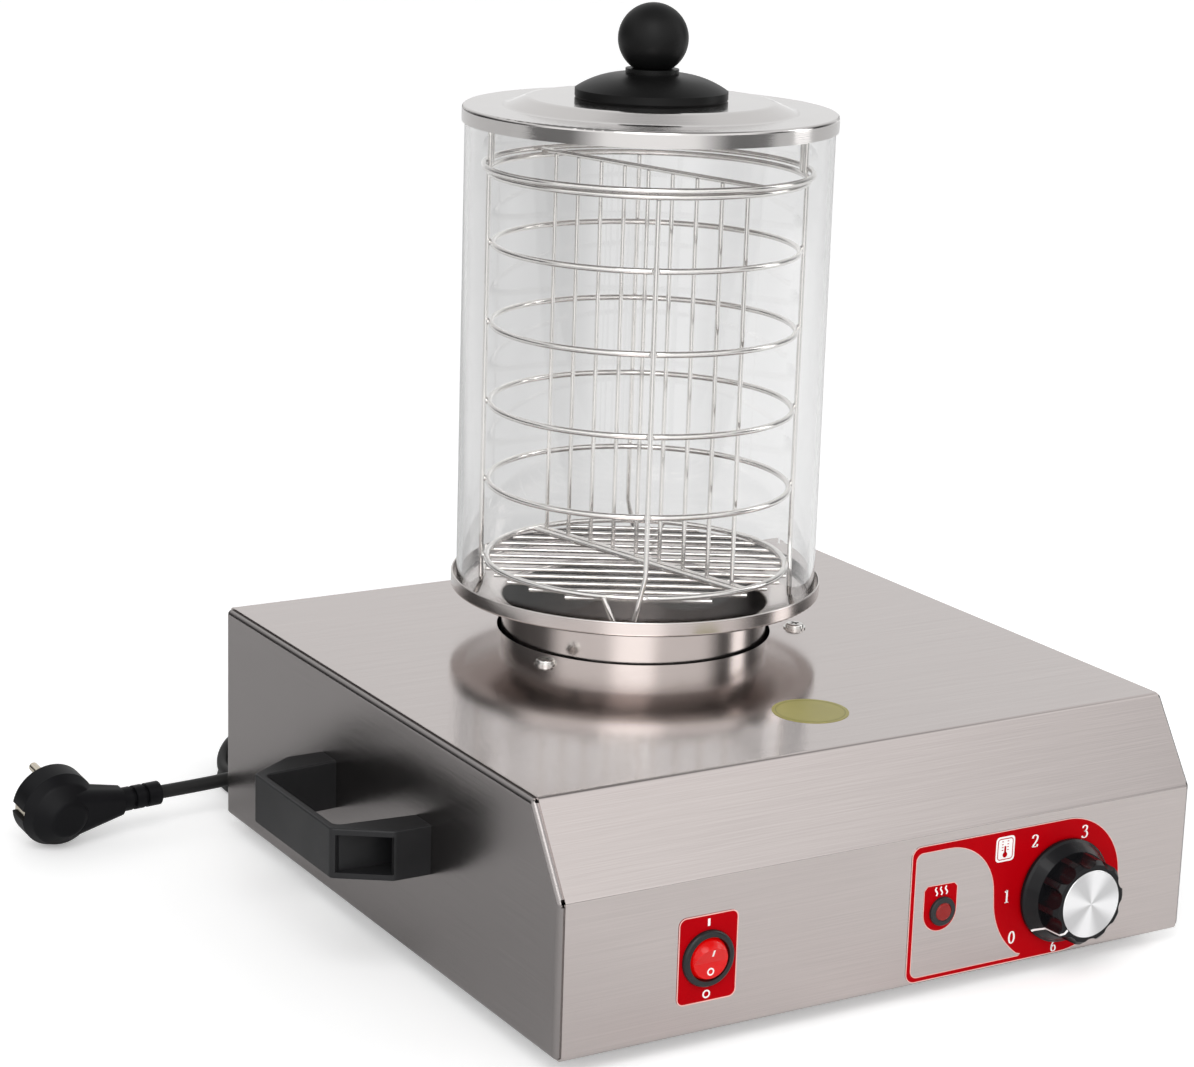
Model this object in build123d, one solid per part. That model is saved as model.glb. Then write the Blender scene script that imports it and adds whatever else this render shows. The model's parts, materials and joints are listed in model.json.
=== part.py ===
from build123d import *
import math
import os

# Hot-dog steamer: a steel box with a heater and a lift-out water pan, a glass
# cylinder with a wire basket, and a lid.  Millimetres, +Z up, front towards -Y.
# The origin is on the floor, under the middle of the whole object.

# ---- casing -------------------------------------------------------------
FOOT_H = 8.0            # rubber feet lift the sheet metal off the floor
CASE_W = 346.0          # over the two side panels
CASE_D = 344.0          # front panel to back panel
CASE_H = 111.5          # sheet metal only
FRONT_H = 72.5          # height of the upright part of the front
SLANT_RUN = 25.6        # how far the slanted part leans back
SHEET = 1.0
WRAP_INSET = 3.0        # the wrapped sheet stops short of the side panels' outer faces
FLANGE = 13.0
FOLD_R = 2.5
SIDE_BEND_R = 2.6
NOTCH_R = 1.5

# ---- glass column -------------------------------------------------------
AXIS_Y = 57.0           # column axis, behind the middle of the casing
HOLE_R = 69.0
PAN_R = 66.7
PAN_SHEET = 0.8
PAN_BOTTOM = 40.0       # heights below are measured from the bottom edge of the sheet
PAN_LIP = 128.6
PAN_SEAT = 133.4
PAN_TOP = 139.8
PAN_RIM_R = 92.6
SEAT_R = 85.0
GLASS_R = 90.0
GLASS_WALL = 2.5
GLASS_TOP = 371.6
LID_R = 91.5
LID_SHEET = 0.7
LID_RIM_Z = 364.6
LID_TOP = 372.4
LID_PLATEAU = 377.0
KNOB_BASE_R = 37.2
BALL_R = 17.1
BALL_Z = 405.9
COLLAR_R = 13.0
COLLAR_TOP = 391.5

# ---- wire basket --------------------------------------------------------
RING_WIRE = 1.5         # wire radii
POST_WIRE = 1.25
GRATE_WIRE = 1.1
WELD_GAP = 0.03         # welded wires stay separate solids, a hair apart
RING_R = 75.0
RING_LEVELS = (305.4, 266.0, 226.4, 187.0, 147.2)
TOP_RING_R = 80.3
TOP_RING_Z = 343.8
POST_RING_Z = 340.7
POST_R = RING_R + RING_WIRE + POST_WIRE + WELD_GAP
POST_ANGLES = (62, 152, 242, 332)
FOOT_Z = 133.0
GRATE_ANGLE = -30
GRATE_COUNT = 12
GRATE_PITCH = 12.3
DIVIDER_ANGLE = 102.5
DIVIDER_BARS = 9
DIVIDER_PITCH = 16.8
LUG_ANGLES = (147, 337)

# ---- controls on the front panel ---------------------------------------
SWITCH_X = -98.0
SWITCH_Z = 35.0
LAMP_X = 28.0
LAMP_Z = 34.5
DIAL_X = 97.8
DIAL_Z = 33.0
LABEL_T = 0.25
LABEL_LEFT = 9.6
LABEL_END_X = 98.4      # centre of the label's half-round end
LABEL_END_R = 33.0
LABEL_MID_Z = 34.7
ROCK_HALF = 11.0        # the rocker tips this far each side of level
ROCK_BALL = 9.95
ROCK_IN = 1.8           # its pivot lies this far behind the panel face
FLUTES = 10
KNOB_TURN = 5.0

# ---- handles ------------------------------------------------------------
GRIP_OUT = 42.5
GRIP_HALF = 41.0
GRIP_FOOT_HALF = 57.0
GRIP_Z = 45.5
GRIP_H = 24.0
GRIP_Y = 1.0
GRIP_BAR = 4.0

# ---- mains lead ---------------------------------------------------------
CORD_D = 7.0
GLAND_OUT = 21.5
GLAND_X = 10.0
GLAND_Z = 24.0
COIL_X = -108.5
COIL_Y = 222.0
COIL_MEAN_R = 36.6
COIL_LAYERS = 4
PLUG_X = -259.2
PLUG_Y = 184.9
PLUG_R = 20.0
PLUG_YAW = 6.0
PLUG_TILT = 10.0

FRONT_Y = -CASE_D / 2
BACK_Y = CASE_D / 2
TOP_Z = FOOT_H + CASE_H
SIDE_X = CASE_W / 2
GLASS_IN_R = GLASS_R - GLASS_WALL


# ---- helpers ------------------------------------------------------------
def cylinder_z(radius, z0, z1, x=0.0, y=0.0):
    return Pos(x, y, (z0 + z1) / 2) * Cylinder(radius, z1 - z0)


def cylinder_y(radius, y0, y1, x=0.0, z=0.0):
    return Pos(x, (y0 + y1) / 2, z) * Rot(90, 0, 0) * Cylinder(radius, y1 - y0)


def cylinder_x(radius, x0, x1, y=0.0, z=0.0):
    return Pos((x0 + x1) / 2, y, z) * Rot(0, 90, 0) * Cylinder(radius, x1 - x0)


def block(x0, x1, y0, y1, z0, z1):
    return Pos((x0 + x1) / 2, (y0 + y1) / 2, (z0 + z1) / 2) * Box(x1 - x0, y1 - y0, z1 - z0)


def hex_prism(across_flats, height):
    return extrude(RegularPolygon(across_flats / math.sqrt(3), 6), height / 2, both=True)


def nearest(vertices, u, v):
    return min(vertices, key=lambda p: (p.X - u) ** 2 + (p.Y - v) ** 2)


def outline(points, rounds=()):
    """A flat closed outline; rounds are (u, v, radius) for the corners to round."""
    face = make_face(Polyline(*points, close=True))
    for u, v, radius in rounds:
        face = fillet(nearest(face.vertices(), u, v), radius)
    return face


def turned(points, rounds=()):
    """A solid of revolution about Z from (radius, height) points."""
    face = Plane.XZ * outline(points, rounds)
    return revolve(face, Axis.Z)


def on_column(shape):
    return Pos(0, AXIS_Y, FOOT_H) * shape


def ring(radius, z, wire):
    return Pos(0, 0, z) * Torus(radius, wire)


def rod(start, end, radius):
    a = Vector(*start)
    b = Vector(*end)
    plane = Plane(origin=a, z_dir=b - a)
    return extrude(plane * Circle(radius), (b - a).length)


def corner_radii(points, share):
    radii = []
    for a, b, c in zip(points, points[1:], points[2:]):
        first = Vector(*b) - Vector(*a)
        second = Vector(*c) - Vector(*b)
        half = math.radians(first.get_angle(second)) / 2
        radii.append(share * min(first.length, second.length) / math.tan(half))
    return radii


def tube(points, radius, name=None, share=0.45):
    """A round tube of straight runs joined by arcs that touch them."""
    radii = corner_radii(points, share)
    path = FilletPolyline(*points, radius=radii)
    shape = sweep(Plane(origin=path @ 0, z_dir=path % 0) * Circle(radius), path)
    if name:
        expected = math.pi * radius ** 2 * path.length
        print(name, "length", round(path.length, 1), "radii", [round(r, 1) for r in radii],
              "volume ratio", round(shape.volume / expected, 4))
    return shape


def pan_head(radius, height):
    """Domed screw head with a cross recess, head underside at z = 0."""
    head = Cylinder(radius, height, align=(Align.CENTER, Align.CENTER, Align.MIN))
    head = fillet(head.edges().sort_by(Axis.Z)[-1], height * 0.45)
    for turn in (0, 90):
        head -= Pos(0, 0, height) * Rot(0, 0, turn) * Box(radius * 1.1, radius * 0.26, height)
    return head


def screw(head_r, head_h, shank_r, length):
    return pan_head(head_r, head_h) + Pos(0, 0, -length / 2) * Cylinder(shank_r, length)


def save(shape, name):
    export_step(shape, "parts/" + name + ".step")


def save_all(shapes, name):
    save(Compound(children=list(shapes)), name)


# ---- sheet metal --------------------------------------------------------
def case_outline(inset):
    """Side view of the casing in (y, z), every fold rounded."""
    points = [(FRONT_Y, FOOT_H), (FRONT_Y, FOOT_H + FRONT_H), (FRONT_Y + SLANT_RUN, TOP_Z),
              (BACK_Y, TOP_Z), (BACK_Y, FOOT_H)]
    face = outline(points, [(y, z, FOLD_R) for y, z in points])
    return offset(face, -inset) if inset else face


def case_prism(inset, x0, x1):
    return extrude(Plane.YZ.offset(x0) * case_outline(inset), x1 - x0)


def back_screw_places():
    return [(side * 166.0, z) for side in (-1, 1) for z in (FOOT_H + 22, FOOT_H + 90)]


def bottom_screw_places():
    return [(side * 165.0, y) for side in (-1, 1) for y in (-110.0, 0.0, 110.0)]


def top_screw_places():
    return [(-72.5, AXIS_Y - 38.0), (72.5, AXIS_Y - 38.0), (0.0, AXIS_Y + 82.0)]


def thermostat_screw_places():
    return [(DIAL_X - 14.0, FOOT_H + DIAL_Z), (DIAL_X + 14.0, FOOT_H + DIAL_Z)]


def foot_places():
    return [(sx * 132.0, sy * 130.0) for sx in (-1, 1) for sy in (-1, 1)]


def handle_screw_y():
    return [GRIP_Y + s * 49.0 for s in (-1, 1)]


def casing_wrap():
    half = SIDE_X - WRAP_INSET
    shell = case_prism(0, -half, half) - case_prism(SHEET, -half - 1, half + 1)
    shell -= block(-half - 1, half + 1, FRONT_Y + FLANGE, BACK_Y - FLANGE, FOOT_H - 1, FOOT_H + SHEET + 0.5)
    shell -= cylinder_z(HOLE_R, TOP_Z - 5, TOP_Z + 5, 0, AXIS_Y)
    for x, y in top_screw_places():
        shell -= cylinder_z(2.1, TOP_Z - 5, TOP_Z + 5, x, y)
    shell -= cylinder_y(11.4, FRONT_Y - 5, FRONT_Y + 5, SWITCH_X, FOOT_H + SWITCH_Z)
    shell -= cylinder_y(5.15, FRONT_Y - 5, FRONT_Y + 5, LAMP_X, FOOT_H + LAMP_Z)
    shell -= cylinder_y(5.0, FRONT_Y - 5, FRONT_Y + 5, DIAL_X, FOOT_H + DIAL_Z)
    for x, z in thermostat_screw_places():
        shell -= cylinder_y(2.1, FRONT_Y - 5, FRONT_Y + 5, x, z)
    for x, z in back_screw_places():
        shell -= cylinder_y(1.7, BACK_Y - 5, BACK_Y + 5, x, z)
    shell -= cylinder_y(7.9, BACK_Y - 5, BACK_Y + 5, GLAND_X, GLAND_Z)
    return shell


def side_panel(side):
    """Tray-like panel: a flat side with every edge folded in under the wrapped sheet."""
    solid = case_prism(SHEET, SIDE_X - FLANGE, SIDE_X)
    solid = fillet(solid.faces().sort_by(Axis.X)[-1].outer_wire().edges(), SIDE_BEND_R)
    hollow = case_prism(2 * SHEET, SIDE_X - FLANGE - 1, SIDE_X - SHEET)
    hollow = fillet(hollow.faces().sort_by(Axis.X)[-1].outer_wire().edges(), SIDE_BEND_R - SHEET)
    panel = solid - hollow
    fold_lines = [(FRONT_Y, FOOT_H + FRONT_H), (FRONT_Y + SLANT_RUN, TOP_Z), (FRONT_Y, FOOT_H),
                  (BACK_Y, FOOT_H), (BACK_Y, TOP_Z)]
    for y, z in fold_lines:
        panel -= cylinder_x(NOTCH_R * 1.6, SIDE_X - FLANGE - 1, SIDE_X - 1.6, y, z)
    for x, z in back_screw_places():
        panel -= cylinder_y(1.3, BACK_Y - 5, BACK_Y + 1, abs(x), z)
    for x, y in bottom_screw_places():
        panel -= cylinder_z(1.3, FOOT_H, FOOT_H + 4, abs(x), y)
    for y in handle_screw_y():
        panel -= cylinder_x(2.5, SIDE_X - 5, SIDE_X + 1, y, FOOT_H + GRIP_Z + GRIP_H / 2)
    return panel if side > 0 else mirror(panel, Plane.YZ)


def bottom_plate():
    half = SIDE_X - WRAP_INSET
    edge = FRONT_Y + FLANGE + 0.2
    plate = block(-half, half, edge, -edge, FOOT_H, FOOT_H + SHEET)
    for row_y in (-95.0, -60.0, 118.0):
        for i in range(9):
            slot = extrude(SlotOverall(26, 4), 3, both=True)
            plate -= Pos(-96 + 24 * i, row_y, FOOT_H) * Rot(0, 0, 90) * slot
    for x, y in bottom_screw_places():
        plate -= cylinder_z(1.7, FOOT_H - 1, FOOT_H + 3, x, y)
    for x, y in foot_places():
        plate -= cylinder_z(2.1, FOOT_H - 1, FOOT_H + 3, x, y)
    for x, y in block_screw_places():
        plate -= cylinder_z(1.6, FOOT_H - 1, FOOT_H + 3, x, y)
    return plate


# ---- feet and fasteners -------------------------------------------------
def rubber_foot(x, y):
    foot = turned([(2.1, FOOT_H), (2.1, 4.2), (5.0, 4.2), (5.0, 0), (10.5, 0), (12.5, FOOT_H)],
                  [(10.5, 0, 1.2)])
    return Pos(x, y, 0) * foot


def foot_screw(x, y):
    return Pos(x, y, 4.2) * Rot(180, 0, 0) * screw(4.0, 2.6, 2.0, 9.6)


def nut_z(x, y, z, across_flats, height, bore):
    return Pos(x, y, z + height / 2) * (hex_prism(across_flats, height) - Cylinder(bore, height + 1))


def m4_nuts():
    strap_z = TOP_Z - SHEET - 1.5 - 3.22
    nuts = [nut_z(x, y, FOOT_H + SHEET, 7, 3.2, 2.05) for x, y in foot_places()]
    return nuts + [nut_z(x, y, strap_z, 7, 3.2, 2.05) for x, y in top_screw_places()]


def panel_screws():
    below = [Pos(x, y, FOOT_H) * Rot(180, 0, 0) for x, y in bottom_screw_places()]
    behind = [Pos(x, BACK_Y, z) * Rot(-90, 0, 0) for x, z in back_screw_places()]
    return [place * screw(3.2, 1.9, 1.25, 6.0) for place in below + behind]


# ---- handles ------------------------------------------------------------
def handle(side):
    half, foot, out = GRIP_HALF, GRIP_FOOT_HALF, GRIP_OUT
    shape = outline([(0, -foot), (18.5, -foot), (out, -half), (out, half), (18.5, foot), (0, foot),
                     (0, half), (out - GRIP_BAR, 37.5), (out - GRIP_BAR, -37.5), (0, -half)],
                    [(out, -half, 3), (out, half, 3), (18.5, -foot, 5), (18.5, foot, 5),
                     (out - GRIP_BAR, 37.5, 4), (out - GRIP_BAR, -37.5, 4)])
    body = extrude(shape, GRIP_H)
    flats = body.faces().filter_by(Axis.Z)
    body = fillet([e for f in flats for e in f.outer_wire().edges()
                   if not (abs(e.center().X) < 0.01)], 0.9)
    for s in (-1, 1):
        pocket = outline([(5, s * 43.4), (5, s * 54.5), (18.4, s * 54.5), (18.4, s * 64),
                          (41.2, s * 64), (41.2, s * 42.6), (38.0, s * 40.6)])
        body -= Pos(0, 0, 3) * extrude(pocket, GRIP_H - 6)
        body -= cylinder_x(2.6, -1, 6, s * 49.0, GRIP_H / 2)
    placed = Pos(SIDE_X, GRIP_Y, FOOT_H + GRIP_Z) * body
    return placed if side > 0 else mirror(placed, Plane.YZ)


def handle_screw(side, y):
    one = Pos(SIDE_X + 5, y, FOOT_H + GRIP_Z + GRIP_H / 2) * Rot(0, 90, 0) * screw(4.4, 3.2, 2.4, 13)
    return one if side > 0 else mirror(one, Plane.YZ)


def handle_nut(side, y):
    nut = Rot(0, 90, 0) * (hex_prism(8, 4) - Cylinder(2.45, 5))
    one = Pos(SIDE_X - SHEET - 2.02, y, FOOT_H + GRIP_Z + GRIP_H / 2) * nut
    return one if side > 0 else mirror(one, Plane.YZ)


# ---- front panel controls ----------------------------------------------
def switch_label():
    """Thin plate glued round the switch."""
    z = FOOT_H + SWITCH_Z
    plate = Pos(SWITCH_X, FRONT_Y, z) * Rot(90, 0, 0) * extrude(RectangleRounded(30.4, 40.6, 3.5), LABEL_T)
    return plate - cylinder_y(11.4, FRONT_Y - 3, FRONT_Y + 1, SWITCH_X, z)


def dial_label():
    """Thin plate round the lamp and the knob, its right-hand end a half circle."""
    y0 = FRONT_Y - LABEL_T
    mid = FOOT_H + LABEL_MID_Z
    plate = block(LABEL_LEFT, LABEL_END_X, y0, FRONT_Y, mid - LABEL_END_R, mid + LABEL_END_R)
    plate = fillet(plate.edges().filter_by(Axis.Y).sort_by(Axis.X)[:2], 5.0)
    plate += cylinder_y(LABEL_END_R, y0, FRONT_Y, LABEL_END_X, mid)
    holes = [(DIAL_X, FOOT_H + DIAL_Z, 5.0), (LAMP_X, FOOT_H + LAMP_Z, 5.15)]
    holes += [(x, z, 3.8) for x, z in thermostat_screw_places()]
    for x, z, radius in holes:
        plate -= cylinder_y(radius, FRONT_Y - 3, FRONT_Y + 1, x, z)
    return plate


def switch_housing():
    z = FOOT_H + SWITCH_Z
    face_y = FRONT_Y - LABEL_T
    bezel = cylinder_y(13.1, face_y - 2.2, face_y, SWITCH_X, z)
    bezel = fillet(bezel.edges().sort_by(Axis.Y)[0], 1.6)
    body = bezel + cylinder_y(11.2, face_y, FRONT_Y + 17, SWITCH_X, z)
    body -= cylinder_y(10.2, face_y - 3, FRONT_Y + 9, SWITCH_X, z)
    body -= cylinder_x(1.3, SWITCH_X - 10.9, SWITCH_X + 10.9, FRONT_Y + ROCK_IN, z)
    for dx, dz in ((-4, -5), (-4, 5), (5, 0)):
        body -= block(SWITCH_X + dx - 0.45, SWITCH_X + dx + 0.45, FRONT_Y + 11, FRONT_Y + 18,
                      z + dz - 2.45, z + dz + 2.45)
    return body


def rocker():
    """V-faced round rocker cut from a ball, tipped so that its lower half is pressed in."""
    body = Sphere(ROCK_BALL) & block(-12, 12, -9, 3, -12, 12)
    for s in (-1, 1):
        half = block(-12, 12, -9, 0, min(0, s * 14), max(0, s * 14))
        body -= Pos(0, -5.0, 0) * Rot(s * ROCK_HALF, 0, 0) * half
    body += cylinder_x(1.2, -10.7, 10.7, 0, 0)
    return Pos(SWITCH_X, FRONT_Y + ROCK_IN, FOOT_H + SWITCH_Z) * Rot(ROCK_HALF, 0, 0) * body


def switch_terminals():
    z = FOOT_H + SWITCH_Z
    return [block(SWITCH_X + dx - 0.4, SWITCH_X + dx + 0.4, FRONT_Y + 12, FRONT_Y + 26,
                  z + dz - 2.4, z + dz + 2.4) for dx, dz in ((-4, -5), (-4, 5), (5, 0))]


def lamp_housing():
    z = FOOT_H + LAMP_Z
    face_y = FRONT_Y - LABEL_T
    bezel = cylinder_y(6.9, face_y - 1.7, face_y, LAMP_X, z)
    bezel = fillet(bezel.edges().sort_by(Axis.Y)[0], 0.9)
    body = bezel + cylinder_y(5.05, face_y, FRONT_Y + 20, LAMP_X, z)
    return body - cylinder_y(4.4, face_y - 3, FRONT_Y + 18, LAMP_X, z)


def lamp_lens():
    z = FOOT_H + LAMP_Z
    lens = cylinder_y(4.35, FRONT_Y - LABEL_T - 2.3, FRONT_Y + 5, LAMP_X, z)
    lens = fillet(lens.edges().sort_by(Axis.Y)[0], 1.2)
    return lens - cylinder_y(3.2, FRONT_Y - 1, FRONT_Y + 6, LAMP_X, z)


def lamp_neon():
    z = FOOT_H + LAMP_Z
    tube_glass = cylinder_y(2.4, FRONT_Y + 1, FRONT_Y + 14, LAMP_X, z)
    return fillet(tube_glass.edges().sort_by(Axis.Y)[0], 1.8)


def fluted_grip():
    """Scalloped grip, its axis along Z, open face up at z = 0 to 12.3."""
    grip = extrude(Circle(20.8), 12.3, taper=2)
    for i in range(FLUTES):
        angle = math.radians((i + 0.5) * 360 / FLUTES)
        grip -= Pos(23.8 * math.cos(angle), 23.8 * math.sin(angle), 6) * Cylinder(6.2, 14)
    grip &= turned([(0, 0), (20.8, 0), (20.8, 10.2), (18.6, 12.3), (0, 12.3)])
    return grip


def thermostat_knob():
    """Skirt, fluted grip and hub; built facing +Z, then turned to face the front."""
    skirt = turned([(0, 0), (25.2, 0), (25.2, 1.6), (24.1, 2.6), (20.9, 7.6), (0, 7.6)],
                   [(25.2, 1.6, 0.6)])
    body = skirt + Pos(0, 0, 7.4) * fluted_grip()
    body -= cylinder_z(22.0, -1, 2.4)
    body -= cylinder_z(15.0, 1, 15.5)
    body += cylinder_z(6.0, 0.6, 16)
    body -= cylinder_z(3.05, -1, 13)
    body -= cylinder_z(16.4, 19.3, 20)
    return Pos(DIAL_X, FRONT_Y - 1.2, FOOT_H + DIAL_Z) * Rot(90, 0, 0) * Rot(0, 0, KNOB_TURN) * body


def knob_cap():
    cap = fillet(cylinder_z(16.3, 19.3, 20.3).edges().sort_by(Axis.Z)[-1], 0.4)
    return Pos(DIAL_X, FRONT_Y - 1.2, FOOT_H + DIAL_Z) * Rot(90, 0, 0) * cap


def thermostat_shaft():
    z = FOOT_H + DIAL_Z
    shaft = cylinder_y(3.0, FRONT_Y - 13.5, FRONT_Y + 12, DIAL_X, z)
    return shaft - block(DIAL_X + 2.2, DIAL_X + 4, FRONT_Y - 14, FRONT_Y - 2, z - 4, z + 4)


def thermostat_body():
    z = FOOT_H + DIAL_Z
    case = block(DIAL_X - 19, DIAL_X + 19, FRONT_Y + SHEET, FRONT_Y + 29, z - 17, z + 17)
    case = fillet(case.edges().filter_by(Axis.Y), 3)
    case -= cylinder_y(3.1, FRONT_Y, FRONT_Y + 13, DIAL_X, z)
    for x, zz in thermostat_screw_places():
        case -= cylinder_y(2.02, FRONT_Y, FRONT_Y + 8, x, zz)
    return case


def thermostat_screw(x, z):
    head = cylinder_y(3.6, FRONT_Y - 1.0, FRONT_Y, x, z)
    return head + cylinder_y(2.0, FRONT_Y - 0.5, FRONT_Y + 7, x, z)


def sensor_line():
    """Capillary from the thermostat to the probe clamped beside the pan."""
    z = FOOT_H + DIAL_Z
    points = [(DIAL_X, FRONT_Y + 29, z), (DIAL_X, FRONT_Y + 55, z), (104, FRONT_Y + 100, z + 4),
              (96, -24, z + 12), (82, -4, z + 18), (70.5, 16, z + 22), (69.6, 45, z + 22),
              (69.6, 66, z + 21)]
    return tube(points, 1.0)


def round_sticker():
    return cylinder_z(18.0, TOP_Z, TOP_Z + 0.15, 2.0, FRONT_Y + 73.6)


# ---- heater -------------------------------------------------------------
def heating_plate():
    return on_column(cylinder_z(60.0, 36.0, PAN_BOTTOM))


def heating_element():
    loop = ring(44.0, 32.6, 3.3) - block(-9, 9, -60, -20, 20, 40)
    ends = [cylinder_z(2.2, 20.0, 29.2, s * 12.6, -42.2) for s in (-1, 1)]
    return [on_column(loop)] + [on_column(e) for e in ends]


def heater_bracket():
    """Three-armed strap that carries the heating plate from three screws in the top."""
    strap = block(-81.5, 81.5, -16, 16, 27.6, 29.1)
    for s in (-1, 1):
        inner, outer, flange = sorted((80.0 * s, 81.5 * s)) + [64.0 * s]
        strap += block(inner, outer, -46, 46, 29.1, 109.0)
        strap += block(min(flange, 81.5 * s), max(flange, 81.5 * s), -46, 46, 109.0, 110.5)
    strap += block(-12, 12, 16, 90.75, 27.6, 29.1)
    strap += block(-12, 12, 89.25, 90.75, 29.1, 109.0)
    strap += block(-12, 12, 74, 90.75, 109.0, 110.5)
    strap -= cylinder_z(70.5, 60, 120)
    strap = on_column(strap)
    for x, y in top_screw_places():
        strap -= cylinder_z(2.1, 100, TOP_Z, x, y)
    return strap


def heat_shield():
    plate = block(-70, 70, -60, 60, 16.0, 16.8)
    walls = block(-70, 70, -60, -59.2, 16.0, 24.0) + block(-70, 70, 59.2, 60, 16.0, 24.0)
    posts = [cylinder_z(3.0, 16.8, 27.6, s * 40, 0) for s in (-1, 1)]
    shield = plate + walls
    for post in posts:
        shield += post
    shield -= block(-20, 20, -52, -36, 15, 18)
    return on_column(shield)


def top_screw(x, y):
    """Low screw head with a washer face."""
    return Pos(x, y, TOP_Z) * (screw(4.6, 2.4, 2.0, 9.0) + cylinder_z(5.6, 0, 0.7))


# ---- wiring -------------------------------------------------------------
BLOCK_X = 10.0
BLOCK_Y = 138.0


def block_screw_places():
    return [(BLOCK_X - 22, BLOCK_Y), (BLOCK_X + 22, BLOCK_Y)]


def terminal_block():
    base = FOOT_H + SHEET
    shape = block(BLOCK_X - 28, BLOCK_X + 28, BLOCK_Y - 9, BLOCK_Y + 9, base, base + 4)
    for i in range(3):
        x = BLOCK_X - 12 + 12 * i
        shape += block(x - 4.5, x + 4.5, BLOCK_Y - 8, BLOCK_Y + 8, base + 4, base + 16)
        shape -= cylinder_z(2.2, base + 9, base + 17, x, BLOCK_Y)
    for x, y in block_screw_places():
        shape -= cylinder_z(1.55, base - 1, base + 5, x, y)
    return shape


def block_screw(x, y):
    return Pos(x, y, FOOT_H + SHEET + 4) * screw(2.9, 2.0, 1.5, 7.0)


def mains_tail():
    """Stretch of the lead between the gland and the terminal block."""
    return cylinder_y(CORD_D / 2, BLOCK_Y + 9.0, BACK_Y + GLAND_OUT - 0.01, GLAND_X, GLAND_Z)


def supply_wires():
    z = FOOT_H + 12
    low = FOOT_H + 30
    live = [(BLOCK_X - 12, BLOCK_Y - 9, z), (-24, 112, z), (-70, 96, z), (-112, 60, z), (-122, 0, z),
            (-116, -70, z), (-104, -118, z + 10), (SWITCH_X - 4, -134, low),
            (SWITCH_X - 4, FRONT_Y + 26, low)]
    neutral = [(BLOCK_X, BLOCK_Y - 9, z), (-12, 104, z), (-66, 86, z), (-104, 52, z), (-112, 0, z),
               (-106, -66, z), (-96, -112, z + 10), (SWITCH_X + 5, -132, low + 5),
               (SWITCH_X + 5, FRONT_Y + 26, low + 5)]
    return [tube(live, 1.3), tube(neutral, 1.3)]


def heater_wires():
    top = FOOT_H + 20
    first = [(SWITCH_X - 4, FRONT_Y + 26.3, FOOT_H + 40), (SWITCH_X - 2, -128, FOOT_H + 38),
             (-80, -90, top + 2), (-50, -40, top), (-24, -6, top - 7.5), (-12.6, 8, top - 6),
             (-12.6, 14.6, top - 1.6)]
    second = [(DIAL_X - 10, FRONT_Y + 29.3, FOOT_H + 24), (DIAL_X - 12, -120, FOOT_H + 22),
              (70, -84, top + 2), (46, -40, top), (24, -6, top - 7.5), (12.6, 8, top - 6),
              (12.6, 14.6, top - 1.6)]
    return [tube(first, 1.3), tube(second, 1.3)]


def earth_wire():
    z = FOOT_H + 12
    points = [(BLOCK_X + 12, BLOCK_Y - 9, z), (34, 112, z - 4), (60, 108, z - 6), (86, 120, z - 4),
              (106, 134, z - 2), (117, 141, z + 1)]
    return tube(points, 1.3)


def earth_stud():
    base = FOOT_H + SHEET
    stud = cylinder_z(2.5, base, base + 14, 126, 142)
    return stud + Pos(126, 142, base + 2) * hex_prism(8, 4) + Pos(126, 142, base + 8) * hex_prism(8, 4)


# ---- water pan, glass, lid ---------------------------------------------
def water_pan():
    inner = PAN_R - PAN_SHEET
    rim_in = PAN_RIM_R - 1.0
    points = [(0, PAN_BOTTOM), (PAN_R, PAN_BOTTOM), (PAN_R, PAN_LIP - 1.4), (SEAT_R, PAN_SEAT - PAN_SHEET),
              (PAN_RIM_R, PAN_SEAT - PAN_SHEET), (PAN_RIM_R, PAN_TOP), (rim_in, PAN_TOP), (rim_in, PAN_SEAT),
              (SEAT_R, PAN_SEAT), (inner, PAN_LIP - 0.4), (inner, PAN_BOTTOM + PAN_SHEET),
              (0, PAN_BOTTOM + PAN_SHEET)]
    rounds = [(PAN_R, PAN_BOTTOM, 8.8), (inner, PAN_BOTTOM + PAN_SHEET, 8.0), (inner, PAN_LIP - 0.4, 2.6),
              (PAN_R, PAN_LIP - 1.4, 1.8), (PAN_RIM_R, PAN_SEAT - PAN_SHEET, 1.2), (PAN_RIM_R, PAN_TOP, 0.45),
              (rim_in, PAN_TOP, 0.45)]
    return on_column(turned(points, rounds))


def glass_cylinder():
    z0 = PAN_SEAT + 0.05
    points = [(GLASS_IN_R, z0), (GLASS_R, z0), (GLASS_R, GLASS_TOP), (GLASS_IN_R, GLASS_TOP)]
    return on_column(turned(points, [(r, z, 0.7) for r, z in points]))


def lid_shell():
    under = LID_TOP - LID_SHEET
    points = [(2.6, LID_PLATEAU), (60, LID_PLATEAU), (71, LID_TOP), (LID_R, LID_TOP), (LID_R, LID_RIM_Z),
              (LID_R - LID_SHEET, LID_RIM_Z), (LID_R - LID_SHEET, under), (70.6, under),
              (59.6, LID_PLATEAU - LID_SHEET), (2.6, LID_PLATEAU - LID_SHEET)]
    rounds = [(60, LID_PLATEAU, 7), (71, LID_TOP, 7), (LID_R, LID_TOP, 1.6), (LID_R - LID_SHEET, under, 0.9),
              (70.6, under, 7.5), (59.6, LID_PLATEAU - LID_SHEET, 6.5)]
    return on_column(turned(points, rounds))


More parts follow.
